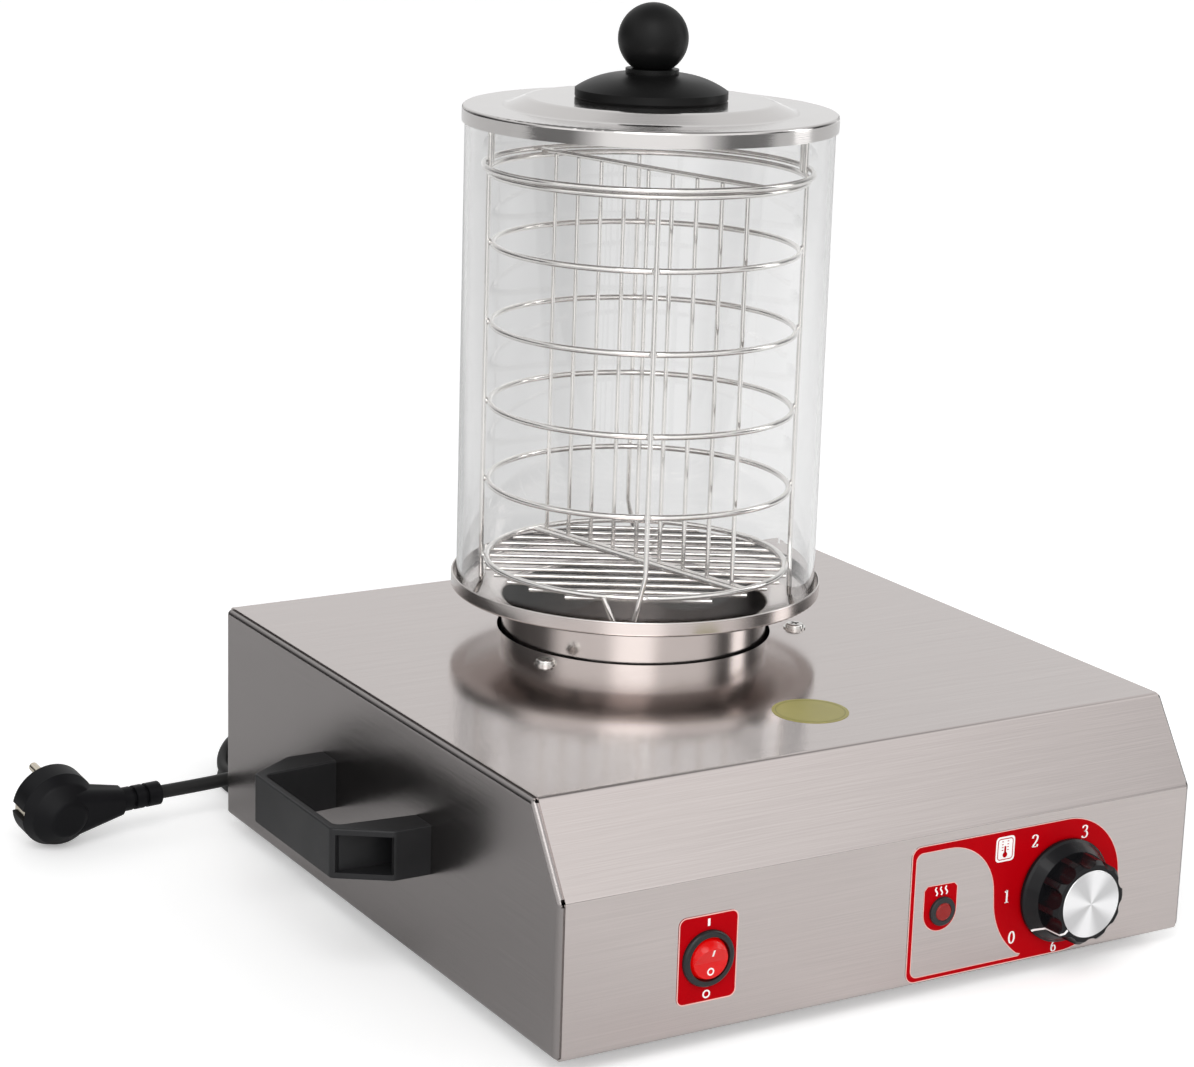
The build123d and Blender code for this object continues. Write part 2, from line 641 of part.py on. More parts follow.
def knob_base():
    z = LID_PLATEAU
    profile = make_face([
        Line((2.6, z), (KNOB_BASE_R - 0.6, z)),
        Line((KNOB_BASE_R - 0.6, z), (KNOB_BASE_R, z + 0.8)),
        Line((KNOB_BASE_R, z + 0.8), (KNOB_BASE_R, z + 4.4)),
        ThreePointArc((KNOB_BASE_R, z + 4.4), (26.5, z + 9.8), (COLLAR_R, z + 12.2)),
        Line((COLLAR_R, z + 12.2), (COLLAR_R, COLLAR_TOP)),
        Line((COLLAR_R, COLLAR_TOP), (2.6, COLLAR_TOP)),
        Line((2.6, COLLAR_TOP), (2.6, z)),
    ])
    return on_column(revolve(Plane.XZ * profile, Axis.Z))


def knob_ball():
    ball = Pos(0, 0, BALL_Z) * Sphere(BALL_R)
    ball -= cylinder_z(40, COLLAR_TOP - 20, COLLAR_TOP)
    ball -= cylinder_z(2.55, COLLAR_TOP - 5, 403)
    return on_column(ball)


def lid_screw():
    under = LID_PLATEAU - LID_SHEET
    body = Pos(0, 0, under - 1.0) * Rot(180, 0, 0) * screw(4.6, 3.2, 2.5, 1.0)
    return on_column(body + cylinder_z(2.5, under - 1.0, 402))


def lid_washer():
    under = LID_PLATEAU - LID_SHEET
    return on_column(cylinder_z(8.0, under - 1.0, under) - cylinder_z(2.6, under - 2, under + 1))


# ---- wire basket --------------------------------------------------------
def polar(radius, degrees, z):
    return (radius * math.cos(math.radians(degrees)), radius * math.sin(math.radians(degrees)), z)


def basket_rings():
    rings = [ring(RING_R, z, RING_WIRE) for z in RING_LEVELS]
    rings.append(ring(TOP_RING_R, TOP_RING_Z, RING_WIRE))
    rings.append(ring(POST_R, POST_RING_Z, RING_WIRE))
    return [on_column(r) for r in rings]


def basket_post(angle):
    """Upright wire whose lower end is bent into a V-shaped foot and back up to the ring."""
    top = POST_RING_Z - RING_WIRE - WELD_GAP
    points = [polar(POST_R, angle, top), polar(POST_R, angle, 158), polar(POST_R, angle - 4, FOOT_Z),
              polar(POST_R, angle - 10, FOOT_Z), polar(POST_R, angle - 14.5, RING_LEVELS[-1])]
    path = FilletPolyline(*points, radius=[18, 3, 3])
    return on_column(sweep(Plane(origin=path @ 0, z_dir=path % 0) * Circle(POST_WIRE), path))


def grate_z():
    return RING_LEVELS[-1] - RING_WIRE - GRATE_WIRE - WELD_GAP


def basket_grate():
    bars = []
    for i in range(GRATE_COUNT):
        off = (i - (GRATE_COUNT - 1) / 2) * GRATE_PITCH
        half = math.sqrt((RING_R + 1.2) ** 2 - off ** 2)
        bar = rod((-half, off, grate_z()), (half, off, grate_z()), GRATE_WIRE)
        bars.append(on_column(Rot(0, 0, GRATE_ANGLE) * bar))
    return bars


def basket_divider():
    top_z = POST_RING_Z + RING_WIRE + POST_WIRE + WELD_GAP
    rail_z = grate_z() + GRATE_WIRE + POST_WIRE + WELD_GAP
    side = GRATE_WIRE + POST_WIRE + WELD_GAP
    rails = [rod((-77.6, 0, top_z), (77.6, 0, top_z), POST_WIRE)]
    rails += [rod((-73.2, s * side, rail_z), (73.2, s * side, rail_z), POST_WIRE) for s in (-1, 1)]
    for i in range(DIVIDER_BARS):
        x = (i - (DIVIDER_BARS - 1) / 2) * DIVIDER_PITCH
        low = grate_z() + GRATE_WIRE + WELD_GAP
        rails.append(rod((x, 0, low), (x, 0, top_z - POST_WIRE - WELD_GAP), GRATE_WIRE))
    return [on_column(Rot(0, 0, DIVIDER_ANGLE) * r) for r in rails]


def basket_lug(angle):
    """Inverted U for the lifting hook, welded inside the top ring."""
    radius = TOP_RING_R - RING_WIRE - POST_WIRE - 0.4
    low = POST_RING_Z + RING_WIRE + WELD_GAP
    points = [(radius, -4.5, low), (radius, -4.5, 362), (radius, 4.5, 362), (radius, 4.5, low)]
    path = FilletPolyline(*points, radius=4.2)
    wire = sweep(Plane(origin=path @ 0, z_dir=path % 0) * Circle(POST_WIRE), path)
    return on_column(Rot(0, 0, angle) * wire)


# ---- mains lead ---------------------------------------------------------
def cable_gland():
    """Flanged bush with a tapered strain relief outside and a threaded barrel inside."""
    sleeve = turned([(CORD_D / 2 + 0.05, 0), (9.5, 0), (9.5, 3.0), (6.6, 3.4), (4.9, GLAND_OUT),
                     (CORD_D / 2 + 0.05, GLAND_OUT)], [(9.5, 3.0, 1.0)])
    barrel = turned([(CORD_D / 2 + 0.05, -10), (7.7, -10), (7.7, 0), (CORD_D / 2 + 0.05, 0)])
    return Pos(GLAND_X, BACK_Y, GLAND_Z) * Rot(-90, 0, 0) * (sleeve + barrel)


def gland_nut():
    nut = hex_prism(20, 5) - Cylinder(7.75, 6)
    return Pos(GLAND_X, BACK_Y - SHEET - 2.52, GLAND_Z) * Rot(90, 0, 0) * nut


LEAD_ROUTE = [(10.0, 193.5, 24.0), (10.5, 218.5, 22.8), (9.8, 244.5, 18.6), (-5.1, 265.6, 12.5),
              (-29.2, 273.2, 7.6), (-53.4, 265.4, 4.8), (-68.2, 244.6, 3.8), (-68.4, 220.0, 3.6)]
TAIL_ROUTE = [(-124.0, 188.6, 24.2), (-143.0, 189.4, 21.6), (-166.0, 190.2, 19.6), (-186.0, 189.5, 19.2),
              (-203.9, 187.7, 19.5)]


def coil_height():
    return COIL_LAYERS * CORD_D


def cord_coil():
    inner = COIL_MEAN_R - CORD_D
    outer = COIL_MEAN_R + CORD_D
    section = [(inner, 0), (outer, 0), (outer, coil_height()), (inner, coil_height())]
    return Pos(COIL_X, COIL_Y, 0) * turned(section, [(r, z, 3.0) for r, z in section])


def cord_tie():
    """Twist tie round the coil's bundle, on the side away from the casing and the plug."""
    h = coil_height()
    outer = block(-3, 3, COIL_MEAN_R - CORD_D - 1.0, COIL_MEAN_R + CORD_D + 1.0, 0.05, h + 1.0)
    inner = block(-4, 4, COIL_MEAN_R - CORD_D - 0.15, COIL_MEAN_R + CORD_D + 0.15, 0.1, h + 0.1)
    band = outer - inner - block(-4, 4, 0, 60, 0, 0.9)
    return Pos(COIL_X, COIL_Y, 0) * Rot(0, 0, -20) * band


def plug_place():
    """Local +Z is the way the pins point, local +X is the way the lead leaves."""
    yaw = math.radians(PLUG_YAW)
    tilt = math.radians(PLUG_TILT)
    lead = Vector(math.cos(yaw), math.sin(yaw), 0)
    pins = Vector(-math.sin(yaw) * math.cos(tilt), math.cos(yaw) * math.cos(tilt), math.sin(tilt))
    return Plane(origin=(PLUG_X, PLUG_Y, PLUG_R), x_dir=lead, z_dir=pins)


def plug_body():
    """Side-entry plug: a round front, a domed back and a neck for the lead."""
    face = turned([(0, -13), (9, -13), (PLUG_R - 3, -6), (PLUG_R, 0), (PLUG_R, 12), (0, 12)],
                  [(9, -13, 4), (PLUG_R - 3, -6, 4), (PLUG_R, 12, 1.0)])
    neck = Plane.YZ.offset(4) * Pos(0, -3) * RectangleRounded(27, 18, 6)
    neck_end = Plane.YZ.offset(33) * Pos(0, -3) * RectangleRounded(14.5, 13.5, 5)
    body = face + loft([neck, neck_end])
    body -= block(-PLUG_R - 1, -PLUG_R + 3, -2.6, 2.6, -1, 13)
    for s in (-1, 1):
        body -= cylinder_z(2.42, 2, 13, 0, s * 9.5)
    body -= block(PLUG_R - 2.2, PLUG_R + 1, -2.6, 2.6, 6.5, 13)
    return plug_place().location * body


def plug_pins():
    pins = []
    for s in (-1, 1):
        pin = Pos(0, s * 9.5, 0) * fillet(cylinder_z(2.4, 2.2, 31).edges().sort_by(Axis.Z)[-1], 1.6)
        pins.append(plug_place().location * pin)
    return pins


def plug_earth_clips():
    left = block(-PLUG_R + 1.8, -PLUG_R + 2.8, -2.3, 2.3, -0.6, 11.6)
    right = block(PLUG_R - 2.0, PLUG_R - 0.3, -2.3, 2.3, 6.7, 11.6)
    return [plug_place().location * left, plug_place().location * right]


def plug_strain_relief():
    """Ribbed sleeve where the lead enters the plug."""
    sleeve = Plane.YZ.offset(33) * Pos(0, -3) * Circle(6.2)
    shape = extrude(sleeve, 22)
    for x0 in (38.5, 45.5):
        groove = extrude(Plane.YZ.offset(x0) * Pos(0, -3) * Circle(8), 2.2)
        core = extrude(Plane.YZ.offset(x0) * Pos(0, -3) * Circle(4.5), 2.2)
        shape -= groove - core
    return plug_place().location * shape


def build():
    os.makedirs("parts", exist_ok=True)
    save(casing_wrap(), "casing_wrap")
    save(side_panel(-1), "side_panel_left")
    save(side_panel(1), "side_panel_right")
    save(bottom_plate(), "bottom_plate")
    save_all([rubber_foot(x, y) for x, y in foot_places()], "rubber_feet")
    save_all([foot_screw(x, y) for x, y in foot_places()], "foot_screws")
    save_all(m4_nuts(), "m4_nuts")
    save_all(panel_screws(), "panel_screws")
    save(handle(-1), "handle_left")
    save(handle(1), "handle_right")
    save_all([handle_screw(s, y) for s in (-1, 1) for y in handle_screw_y()], "handle_screws")
    save_all([handle_nut(s, y) for s in (-1, 1) for y in handle_screw_y()], "handle_nuts")
    save(switch_label(), "switch_label")
    save(dial_label(), "dial_label")
    save(round_sticker(), "round_sticker")
    save(switch_housing(), "switch_housing")
    save(rocker(), "rocker")
    save_all(switch_terminals(), "switch_terminals")
    save(lamp_housing(), "lamp_housing")
    save(lamp_lens(), "lamp_lens")
    save(lamp_neon(), "lamp_neon")
    save(thermostat_knob(), "thermostat_knob")
    save(knob_cap(), "knob_cap")
    save(thermostat_shaft(), "thermostat_shaft")
    save(thermostat_body(), "thermostat_body")
    save_all([thermostat_screw(x, z) for x, z in thermostat_screw_places()], "thermostat_screws")
    save(sensor_line(), "sensor_line")
    save(heating_plate(), "heating_plate")
    save_all(heating_element(), "heating_element")
    save(heater_bracket(), "heater_bracket")
    save(heat_shield(), "heat_shield")
    save_all([top_screw(x, y) for x, y in top_screw_places()], "top_screws")
    save(terminal_block(), "terminal_block")
    save_all([block_screw(x, y) for x, y in block_screw_places()], "terminal_block_screws")
    save(mains_tail(), "mains_tail")
    save_all(supply_wires(), "supply_wires")
    save_all(heater_wires(), "heater_wires")
    save(earth_wire(), "earth_wire")
    save(earth_stud(), "earth_stud")
    save(water_pan(), "water_pan")
    save(glass_cylinder(), "glass_cylinder")
    save_all(basket_rings(), "basket_rings")
    save_all([basket_post(a) for a in POST_ANGLES], "basket_posts")
    save_all(basket_grate(), "basket_grate")
    save_all(basket_divider(), "basket_divider")
    save_all([basket_lug(a) for a in LUG_ANGLES], "basket_lugs")
    save(lid_shell(), "lid_shell")
    save(knob_base(), "lid_knob_base")
    save(knob_ball(), "lid_knob_ball")
    save_all([lid_screw(), lid_washer()], "lid_screw")
    save(cable_gland(), "cable_gland")
    save(gland_nut(), "gland_nut")
    save(tube(LEAD_ROUTE, CORD_D / 2, "cord_lead", 0.475), "cord_lead")
    save(cord_coil(), "cord_coil")
    save(tube(TAIL_ROUTE, CORD_D / 2, "cord_tail"), "cord_tail")
    save(cord_tie(), "cord_tie")
    save(plug_body(), "plug_body")
    save_all(plug_pins(), "plug_pins")
    save_all(plug_earth_clips(), "plug_earth_clips")
    save(plug_strain_relief(), "plug_strain_relief")


build()
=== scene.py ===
import json
import math
import bmesh
import bpy
from mathutils import Matrix, Vector


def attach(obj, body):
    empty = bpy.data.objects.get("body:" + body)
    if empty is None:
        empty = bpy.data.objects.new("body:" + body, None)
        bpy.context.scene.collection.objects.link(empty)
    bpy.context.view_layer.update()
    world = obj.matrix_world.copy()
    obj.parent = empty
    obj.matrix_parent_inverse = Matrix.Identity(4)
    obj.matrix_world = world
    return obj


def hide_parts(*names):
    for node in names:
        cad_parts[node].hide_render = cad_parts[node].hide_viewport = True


# Hot-dog steamer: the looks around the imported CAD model.  Metres, +Z up, front towards -Y.
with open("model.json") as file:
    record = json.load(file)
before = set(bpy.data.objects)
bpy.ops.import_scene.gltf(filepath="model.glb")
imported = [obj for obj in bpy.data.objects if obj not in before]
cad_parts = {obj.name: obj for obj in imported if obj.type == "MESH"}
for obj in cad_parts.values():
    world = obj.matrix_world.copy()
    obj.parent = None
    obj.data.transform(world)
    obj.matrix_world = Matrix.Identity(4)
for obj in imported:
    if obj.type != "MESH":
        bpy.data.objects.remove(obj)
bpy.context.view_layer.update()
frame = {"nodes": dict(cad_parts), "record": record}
MM = 0.001


# ---- camera -------------------------------------------------------------
CAMERA_AZIMUTH = -30.95
CAMERA_ELEVATION = 14.7
CAMERA_ROLL = 1.77
CAMERA_DISTANCE = 1397.5
CAMERA_TARGET = Vector((-79.4, -37.0, 198.6))
FOCAL_LENGTH = 91.52


def make_camera():
    azimuth = math.radians(CAMERA_AZIMUTH)
    elevation = math.radians(CAMERA_ELEVATION)
    roll = math.radians(CAMERA_ROLL)
    forward = Vector((-math.sin(azimuth) * math.cos(elevation), math.cos(azimuth) * math.cos(elevation),
                      -math.sin(elevation)))
    level = forward.cross(Vector((0, 0, 1))).normalized()
    upright = level.cross(forward)
    right = level * math.cos(roll) + upright * math.sin(roll)
    up = upright * math.cos(roll) - level * math.sin(roll)
    turn = Matrix((right, up, -forward)).transposed().to_4x4()
    data = bpy.data.cameras.new("camera")
    data.sensor_width = 36.0
    data.sensor_fit = "HORIZONTAL"
    data.lens = FOCAL_LENGTH
    camera = bpy.data.objects.new("camera", data)
    camera.matrix_world = Matrix.Translation((CAMERA_TARGET - forward * CAMERA_DISTANCE) * MM) @ turn
    bpy.context.scene.collection.objects.link(camera)
    bpy.context.scene.camera = camera


# ---- mains lead ---------------------------------------------------------
CORD_D = 7.0
COIL_CENTRE = (-108.5, 222.0)
COIL_OUTER = 40.6
COIL_INNER = 33.3
COIL_STEPS = 24         # points in a turn
COIL_TURNS = 6.25
COIL_REST = 3.6         # height of the lowest layer's middle
LEAD_ROUTE = [(10.0, 193.5, 24.0), (10.5, 218.5, 22.8), (9.8, 244.5, 18.6), (-5.1, 265.6, 12.5),
              (-29.2, 273.2, 7.6), (-53.4, 265.4, 4.8), (-67.8, 244.6, 3.8)]
TAIL_ROUTE = [(-126.0, 188.7, 24.2), (-145.0, 189.5, 21.6), (-166.0, 190.2, 19.7), (-186.0, 189.5, 19.2),
              (-203.9, 187.7, 19.5)]


def coil_points():
    """Turns clockwise from above; each change of track takes 45 degrees and comes 315 after the last."""
    layers = [COIL_REST + CORD_D * i for i in range(4)]
    tracks = [(COIL_OUTER, layers[0]), (COIL_INNER, layers[0]), (COIL_INNER, layers[1]),
              (COIL_OUTER, layers[1]), (COIL_OUTER, layers[2]), (COIL_INNER, layers[2]),
              (COIL_INNER, layers[3])]
    first_change, period, change = 330.0, 315.0, 45.0
    points = []
    for i in range(1, int(COIL_STEPS * COIL_TURNS) + 1):
        angle = i * 360.0 / COIL_STEPS
        along = max(0.0, (angle - first_change) / period)
        step = min(int(along), len(tracks) - 2)
        share = 0.0 if angle < first_change else min(1.0, (along - step) * period / change)
        share = share * share * (3 - 2 * share)
        (r0, z0), (r1, z1) = tracks[step], tracks[step + 1]
        radius = r0 + (r1 - r0) * share
        height = z0 + (z1 - z0) * share
        a = -math.radians(angle)
        points.append((COIL_CENTRE[0] + radius * math.cos(a),
                       COIL_CENTRE[1] + radius * math.sin(a), height))
    return points


def make_cord():
    first = (COIL_CENTRE[0] + COIL_OUTER, COIL_CENTRE[1], COIL_REST)
    route = LEAD_ROUTE + [first] + coil_points() + TAIL_ROUTE
    curve = bpy.data.curves.new("mains_lead", "CURVE")
    curve.dimensions = "3D"
    spline = curve.splines.new("NURBS")
    spline.points.add(len(route) - 1)
    for point, place in zip(spline.points, route):
        point.co = (place[0] * MM, place[1] * MM, place[2] * MM, 1.0)
        point.radius = CORD_D / 2 * MM
    spline.order_u = 3
    spline.use_endpoint_u = True
    spline.resolution_u = 6
    curve.resolution_u = 6
    curve.bevel_depth = 1.0     # metres, times each point's radius
    curve.bevel_resolution = 5
    curve.use_fill_caps = True
    cord = bpy.data.objects.new("mains_lead", curve)
    bpy.context.scene.collection.objects.link(cord)
    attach(cord, "base")
    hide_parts("cord_lead", "cord_coil", "cord_tail")
    return cord


# ---- materials ----------------------------------------------------------
COLUMN = (0.0, 0.057)           # upright axis of the pan, glass and lid, in metres
STEEL = (0.55, 0.50, 0.485)
# steel of the side panels: the wrap's steel painted darker, as painted shade on the sides
SHADED_SIDE_STEEL = (0.29, 0.27, 0.265)
TURNED_GROOVES = 2600.0         # noise cells to the metre
DISC_GROOVES = 9000.0
# count and turn of the painted highlight rays on the knob's spun cap
DISC_HIGHLIGHT_RAYS = 4.0
DISC_HIGHLIGHT_TURN = 0.9             # radians
RED_GLOW = 0.2


def new_material(name, colour, metallic=0.0, roughness=0.5, **extra):
    material = bpy.data.materials.new(name)
    material.use_nodes = True
    shader = material.node_tree.nodes["Principled BSDF"]
    shader.inputs["Base Color"].default_value = (*colour, 1.0)
    shader.inputs["Metallic"].default_value = metallic
    shader.inputs["Roughness"].default_value = roughness
    for key, value in extra.items():
        shader.inputs[key.replace("_", " ")].default_value = value
    return material, material.node_tree, shader


def position(tree):
    """Place in the object's own frame, in metres."""
    return tree.nodes.new("ShaderNodeTexCoord").outputs["Object"]


def scaled(tree, vector, scale):
    node = tree.nodes.new("ShaderNodeVectorMath")
    node.operation = "MULTIPLY"
    node.inputs[1].default_value = scale
    tree.links.new(vector, node.inputs[0])
    return node.outputs[0]


def noise_of(tree, vector, scale=1.0, detail=2.0, roughness=0.5):
    node = tree.nodes.new("ShaderNodeTexNoise")
    node.inputs["Scale"].default_value = scale
    node.inputs["Detail"].default_value = detail
    node.inputs["Roughness"].default_value = roughness
    tree.links.new(vector, node.inputs["Vector"])
    return node.outputs["Fac"]


def mapped(tree, value, low, high, from_low=0.0, from_high=1.0):
    node = tree.nodes.new("ShaderNodeMapRange")
    node.inputs["From Min"].default_value = from_low
    node.inputs["From Max"].default_value = from_high
    node.inputs["To Min"].default_value = low
    node.inputs["To Max"].default_value = high
    tree.links.new(value, node.inputs["Value"])
    return node.outputs["Result"]


def bumped(tree, shader, height, strength, distance=0.0001):
    node = tree.nodes.new("ShaderNodeBump")
    node.inputs["Strength"].default_value = strength
    node.inputs["Distance"].default_value = distance
    tree.links.new(height, node.inputs["Height"])
    tree.links.new(node.outputs["Normal"], shader.inputs["Normal"])


def tinted(tree, shader, value, dark, light, from_low=0.35, from_high=0.65):
    node = tree.nodes.new("ShaderNodeValToRGB")
    node.color_ramp.elements[0].position = from_low
    node.color_ramp.elements[0].color = (*dark, 1.0)
    node.color_ramp.elements[1].position = from_high
    node.color_ramp.elements[1].color = (*light, 1.0)
    tree.links.new(value, node.inputs["Fac"])
    tree.links.new(node.outputs["Color"], shader.inputs["Base Color"])


def added(tree, a, b, weight):
    node = tree.nodes.new("ShaderNodeMath")
    node.operation = "MULTIPLY_ADD"
    node.inputs[1].default_value = weight
    tree.links.new(b, node.inputs[0])
    tree.links.new(a, node.inputs[2])
    return node.outputs[0]


def brushed_sheet(name, colour, along, rough=(0.26, 0.36), strength=0.10):
    """Sheet steel with fine straight grain; along is the stretch of the noise on each axis."""
    material, tree, shader = new_material(name, colour, metallic=1.0, roughness=0.3)
    place = position(tree)
    fine = noise_of(tree, scaled(tree, place, along), scale=1.0, detail=3.0, roughness=0.65)
    coarse = noise_of(tree, scaled(tree, place, [v * 0.22 for v in along]), scale=1.0, detail=2.0)
    cloud = noise_of(tree, place, scale=7.0, detail=4.0, roughness=0.6)
    grain = added(tree, fine, coarse, 0.6)
    bumped(tree, shader, grain, strength, 0.00008)
    worn = added(tree, fine, cloud, 0.9)
    tree.links.new(mapped(tree, worn, rough[0], rough[1], 0.6, 1.3), shader.inputs["Roughness"])
    dark = [c * 0.94 for c in colour]
    light = [min(1.0, c * 1.05) for c in colour]
    tinted(tree, shader, fine, dark, light)
    return material


def round_axis(tree, place, centre, second):
    """Place from centre on, and a vector whose X is the distance from the axis square to X and second."""
    shift = tree.nodes.new("ShaderNodeVectorMath")
    shift.operation = "SUBTRACT"
    shift.inputs[1].default_value = centre
    tree.links.new(place, shift.inputs[0])
    split = tree.nodes.new("ShaderNodeSeparateXYZ")
    tree.links.new(shift.outputs[0], split.inputs[0])
    flat = tree.nodes.new("ShaderNodeCombineXYZ")
    tree.links.new(split.outputs["X"], flat.inputs["X"])
    tree.links.new(split.outputs[second], flat.inputs["Y"])
    length = tree.nodes.new("ShaderNodeVectorMath")
    length.operation = "LENGTH"
    tree.links.new(flat.outputs[0], length.inputs[0])
    polar = tree.nodes.new("ShaderNodeCombineXYZ")
    tree.links.new(length.outputs["Value"], polar.inputs["X"])
    return split, polar


def spun_metal(name, colour, centre, rough=(0.14, 0.22), strength=0.08):
    """Turned metal with fine grooves round a vertical axis through centre."""
    material, tree, shader = new_material(name, colour, metallic=1.0, roughness=0.2)
    place = position(tree)
    split, polar = round_axis(tree, place, (centre[0], centre[1], 0.0), "Y")
    tree.links.new(split.outputs["Z"], polar.inputs["Y"])
    stretched = scaled(tree, polar.outputs[0], (TURNED_GROOVES, TURNED_GROOVES, 1.0))
    grooves = noise_of(tree, stretched, 1.0, 2.0, 0.6)
    bumped(tree, shader, grooves, strength, 0.00006)
    cloud = noise_of(tree, place, scale=16.0, detail=4.0, roughness=0.6)
    tree.links.new(mapped(tree, cloud, rough[0], rough[1], 0.35, 0.65), shader.inputs["Roughness"])
    return material


def plain_metal(name, colour, rough=(0.12, 0.2), scale=60.0, strength=0.03):
    material, tree, shader = new_material(name, colour, metallic=1.0, roughness=0.16)
    cloud = noise_of(tree, position(tree), scale=scale, detail=4.0, roughness=0.6)
    tree.links.new(mapped(tree, cloud, rough[0], rough[1], 0.35, 0.65), shader.inputs["Roughness"])
    bumped(tree, shader, cloud, strength, 0.0002)
    return material


def moulded_plastic(name, colour, rough=(0.4, 0.5), texture=1400.0, strength=0.15, coat=0.0, gloss=0.3):
    material, tree, shader = new_material(name, colour, roughness=0.45, Coat_Weight=coat,
                                          Specular_IOR_Level=gloss)
    place = position(tree)
    pits = noise_of(tree, place, scale=texture, detail=2.0)
    cloud = noise_of(tree, place, scale=22.0, detail=3.0)
    tree.links.new(mapped(tree, cloud, rough[0], rough[1], 0.35, 0.65), shader.inputs["Roughness"])
    bumped(tree, shader, pits, strength, 0.00012)
    dark = [c * 0.8 for c in colour]
    light = [min(1.0, c * 1.25) for c in colour]
    tinted(tree, shader, cloud, dark, light)
    return material


def printed_film(name, colour, rough=0.32, gloss=0.3):
    material, tree, shader = new_material(name, colour, roughness=rough, Specular_IOR_Level=gloss)
    place = position(tree)
    grain = noise_of(tree, place, scale=900.0, detail=2.0)
    cloud = noise_of(tree, place, scale=35.0, detail=3.0)
    bumped(tree, shader, grain, 0.04, 0.00005)
    tinted(tree, shader, cloud, [c * 0.93 for c in colour], [min(1.0, c * 1.06) for c in colour])
    return material


def clear_glass(name, tint):
    material, tree, shader = new_material(name, tint, roughness=0.0, Transmission_Weight=1.0, IOR=1.46)
    wave = noise_of(tree, position(tree), scale=9.0, detail=1.0)
    bumped(tree, shader, wave, 0.03, 0.002)
    return material


def clear_red(name, colour, glow):
    """Clear red plastic, with a small glow for the light that gathers inside it."""
    material, tree, shader = new_material(name, colour, roughness=0.18, Transmission_Weight=0.35, IOR=1.5,
                                          Specular_IOR_Level=0.25)
    shader.inputs["Emission Color"].default_value = (*glow, 1.0)
    shader.inputs["Emission Strength"].default_value = RED_GLOW
    cloud = noise_of(tree, position(tree), scale=120.0, detail=2.0)
    tree.links.new(mapped(tree, cloud, 0.14, 0.26, 0.3, 0.7), shader.inputs["Roughness"])
    return material


def spun_disc(name, colour, centre_x, centre_z):
    """Turned disc that faces the front: grooves round its middle, and soft bright rays painted into its
    colour as a painted reflection.
    """
    material, tree, shader = new_material(name, colour, metallic=1.0, roughness=0.25)
    split, polar = round_axis(tree, position(tree), (centre_x, 0.0, centre_z), "Z")
    grooves = noise_of(tree, scaled(tree, polar.outputs[0], (DISC_GROOVES, 1.0, 1.0)), 1.0, 2.0, 0.6)
    bumped(tree, shader, grooves, 0.5, 0.00006)
    angle = tree.nodes.new("ShaderNodeMath")
    angle.operation = "ARCTAN2"
    tree.links.new(split.outputs["Z"], angle.inputs[0])
    tree.links.new(split.outputs["X"], angle.inputs[1])
    highlight_rays = tree.nodes.new("ShaderNodeMath")
    highlight_rays.operation = "COSINE"
    times = tree.nodes.new("ShaderNodeMath")
    times.operation = "MULTIPLY_ADD"
    times.inputs[1].default_value = DISC_HIGHLIGHT_RAYS
    times.inputs[2].default_value = DISC_HIGHLIGHT_TURN
    tree.links.new(angle.outputs[0], times.inputs[0])
    tree.links.new(times.outputs[0], highlight_rays.inputs[0])
    # lighter and darker sectors of the colour: painted reflection of the rays a turned disc shows
    tinted(tree, shader, mapped(tree, highlight_rays.outputs[0], 0.0, 1.0, -1.0, 1.0), [c * 0.72 for c in colour],
           [min(1.0, c * 1.1) for c in colour], 0.1, 0.9)
    return material


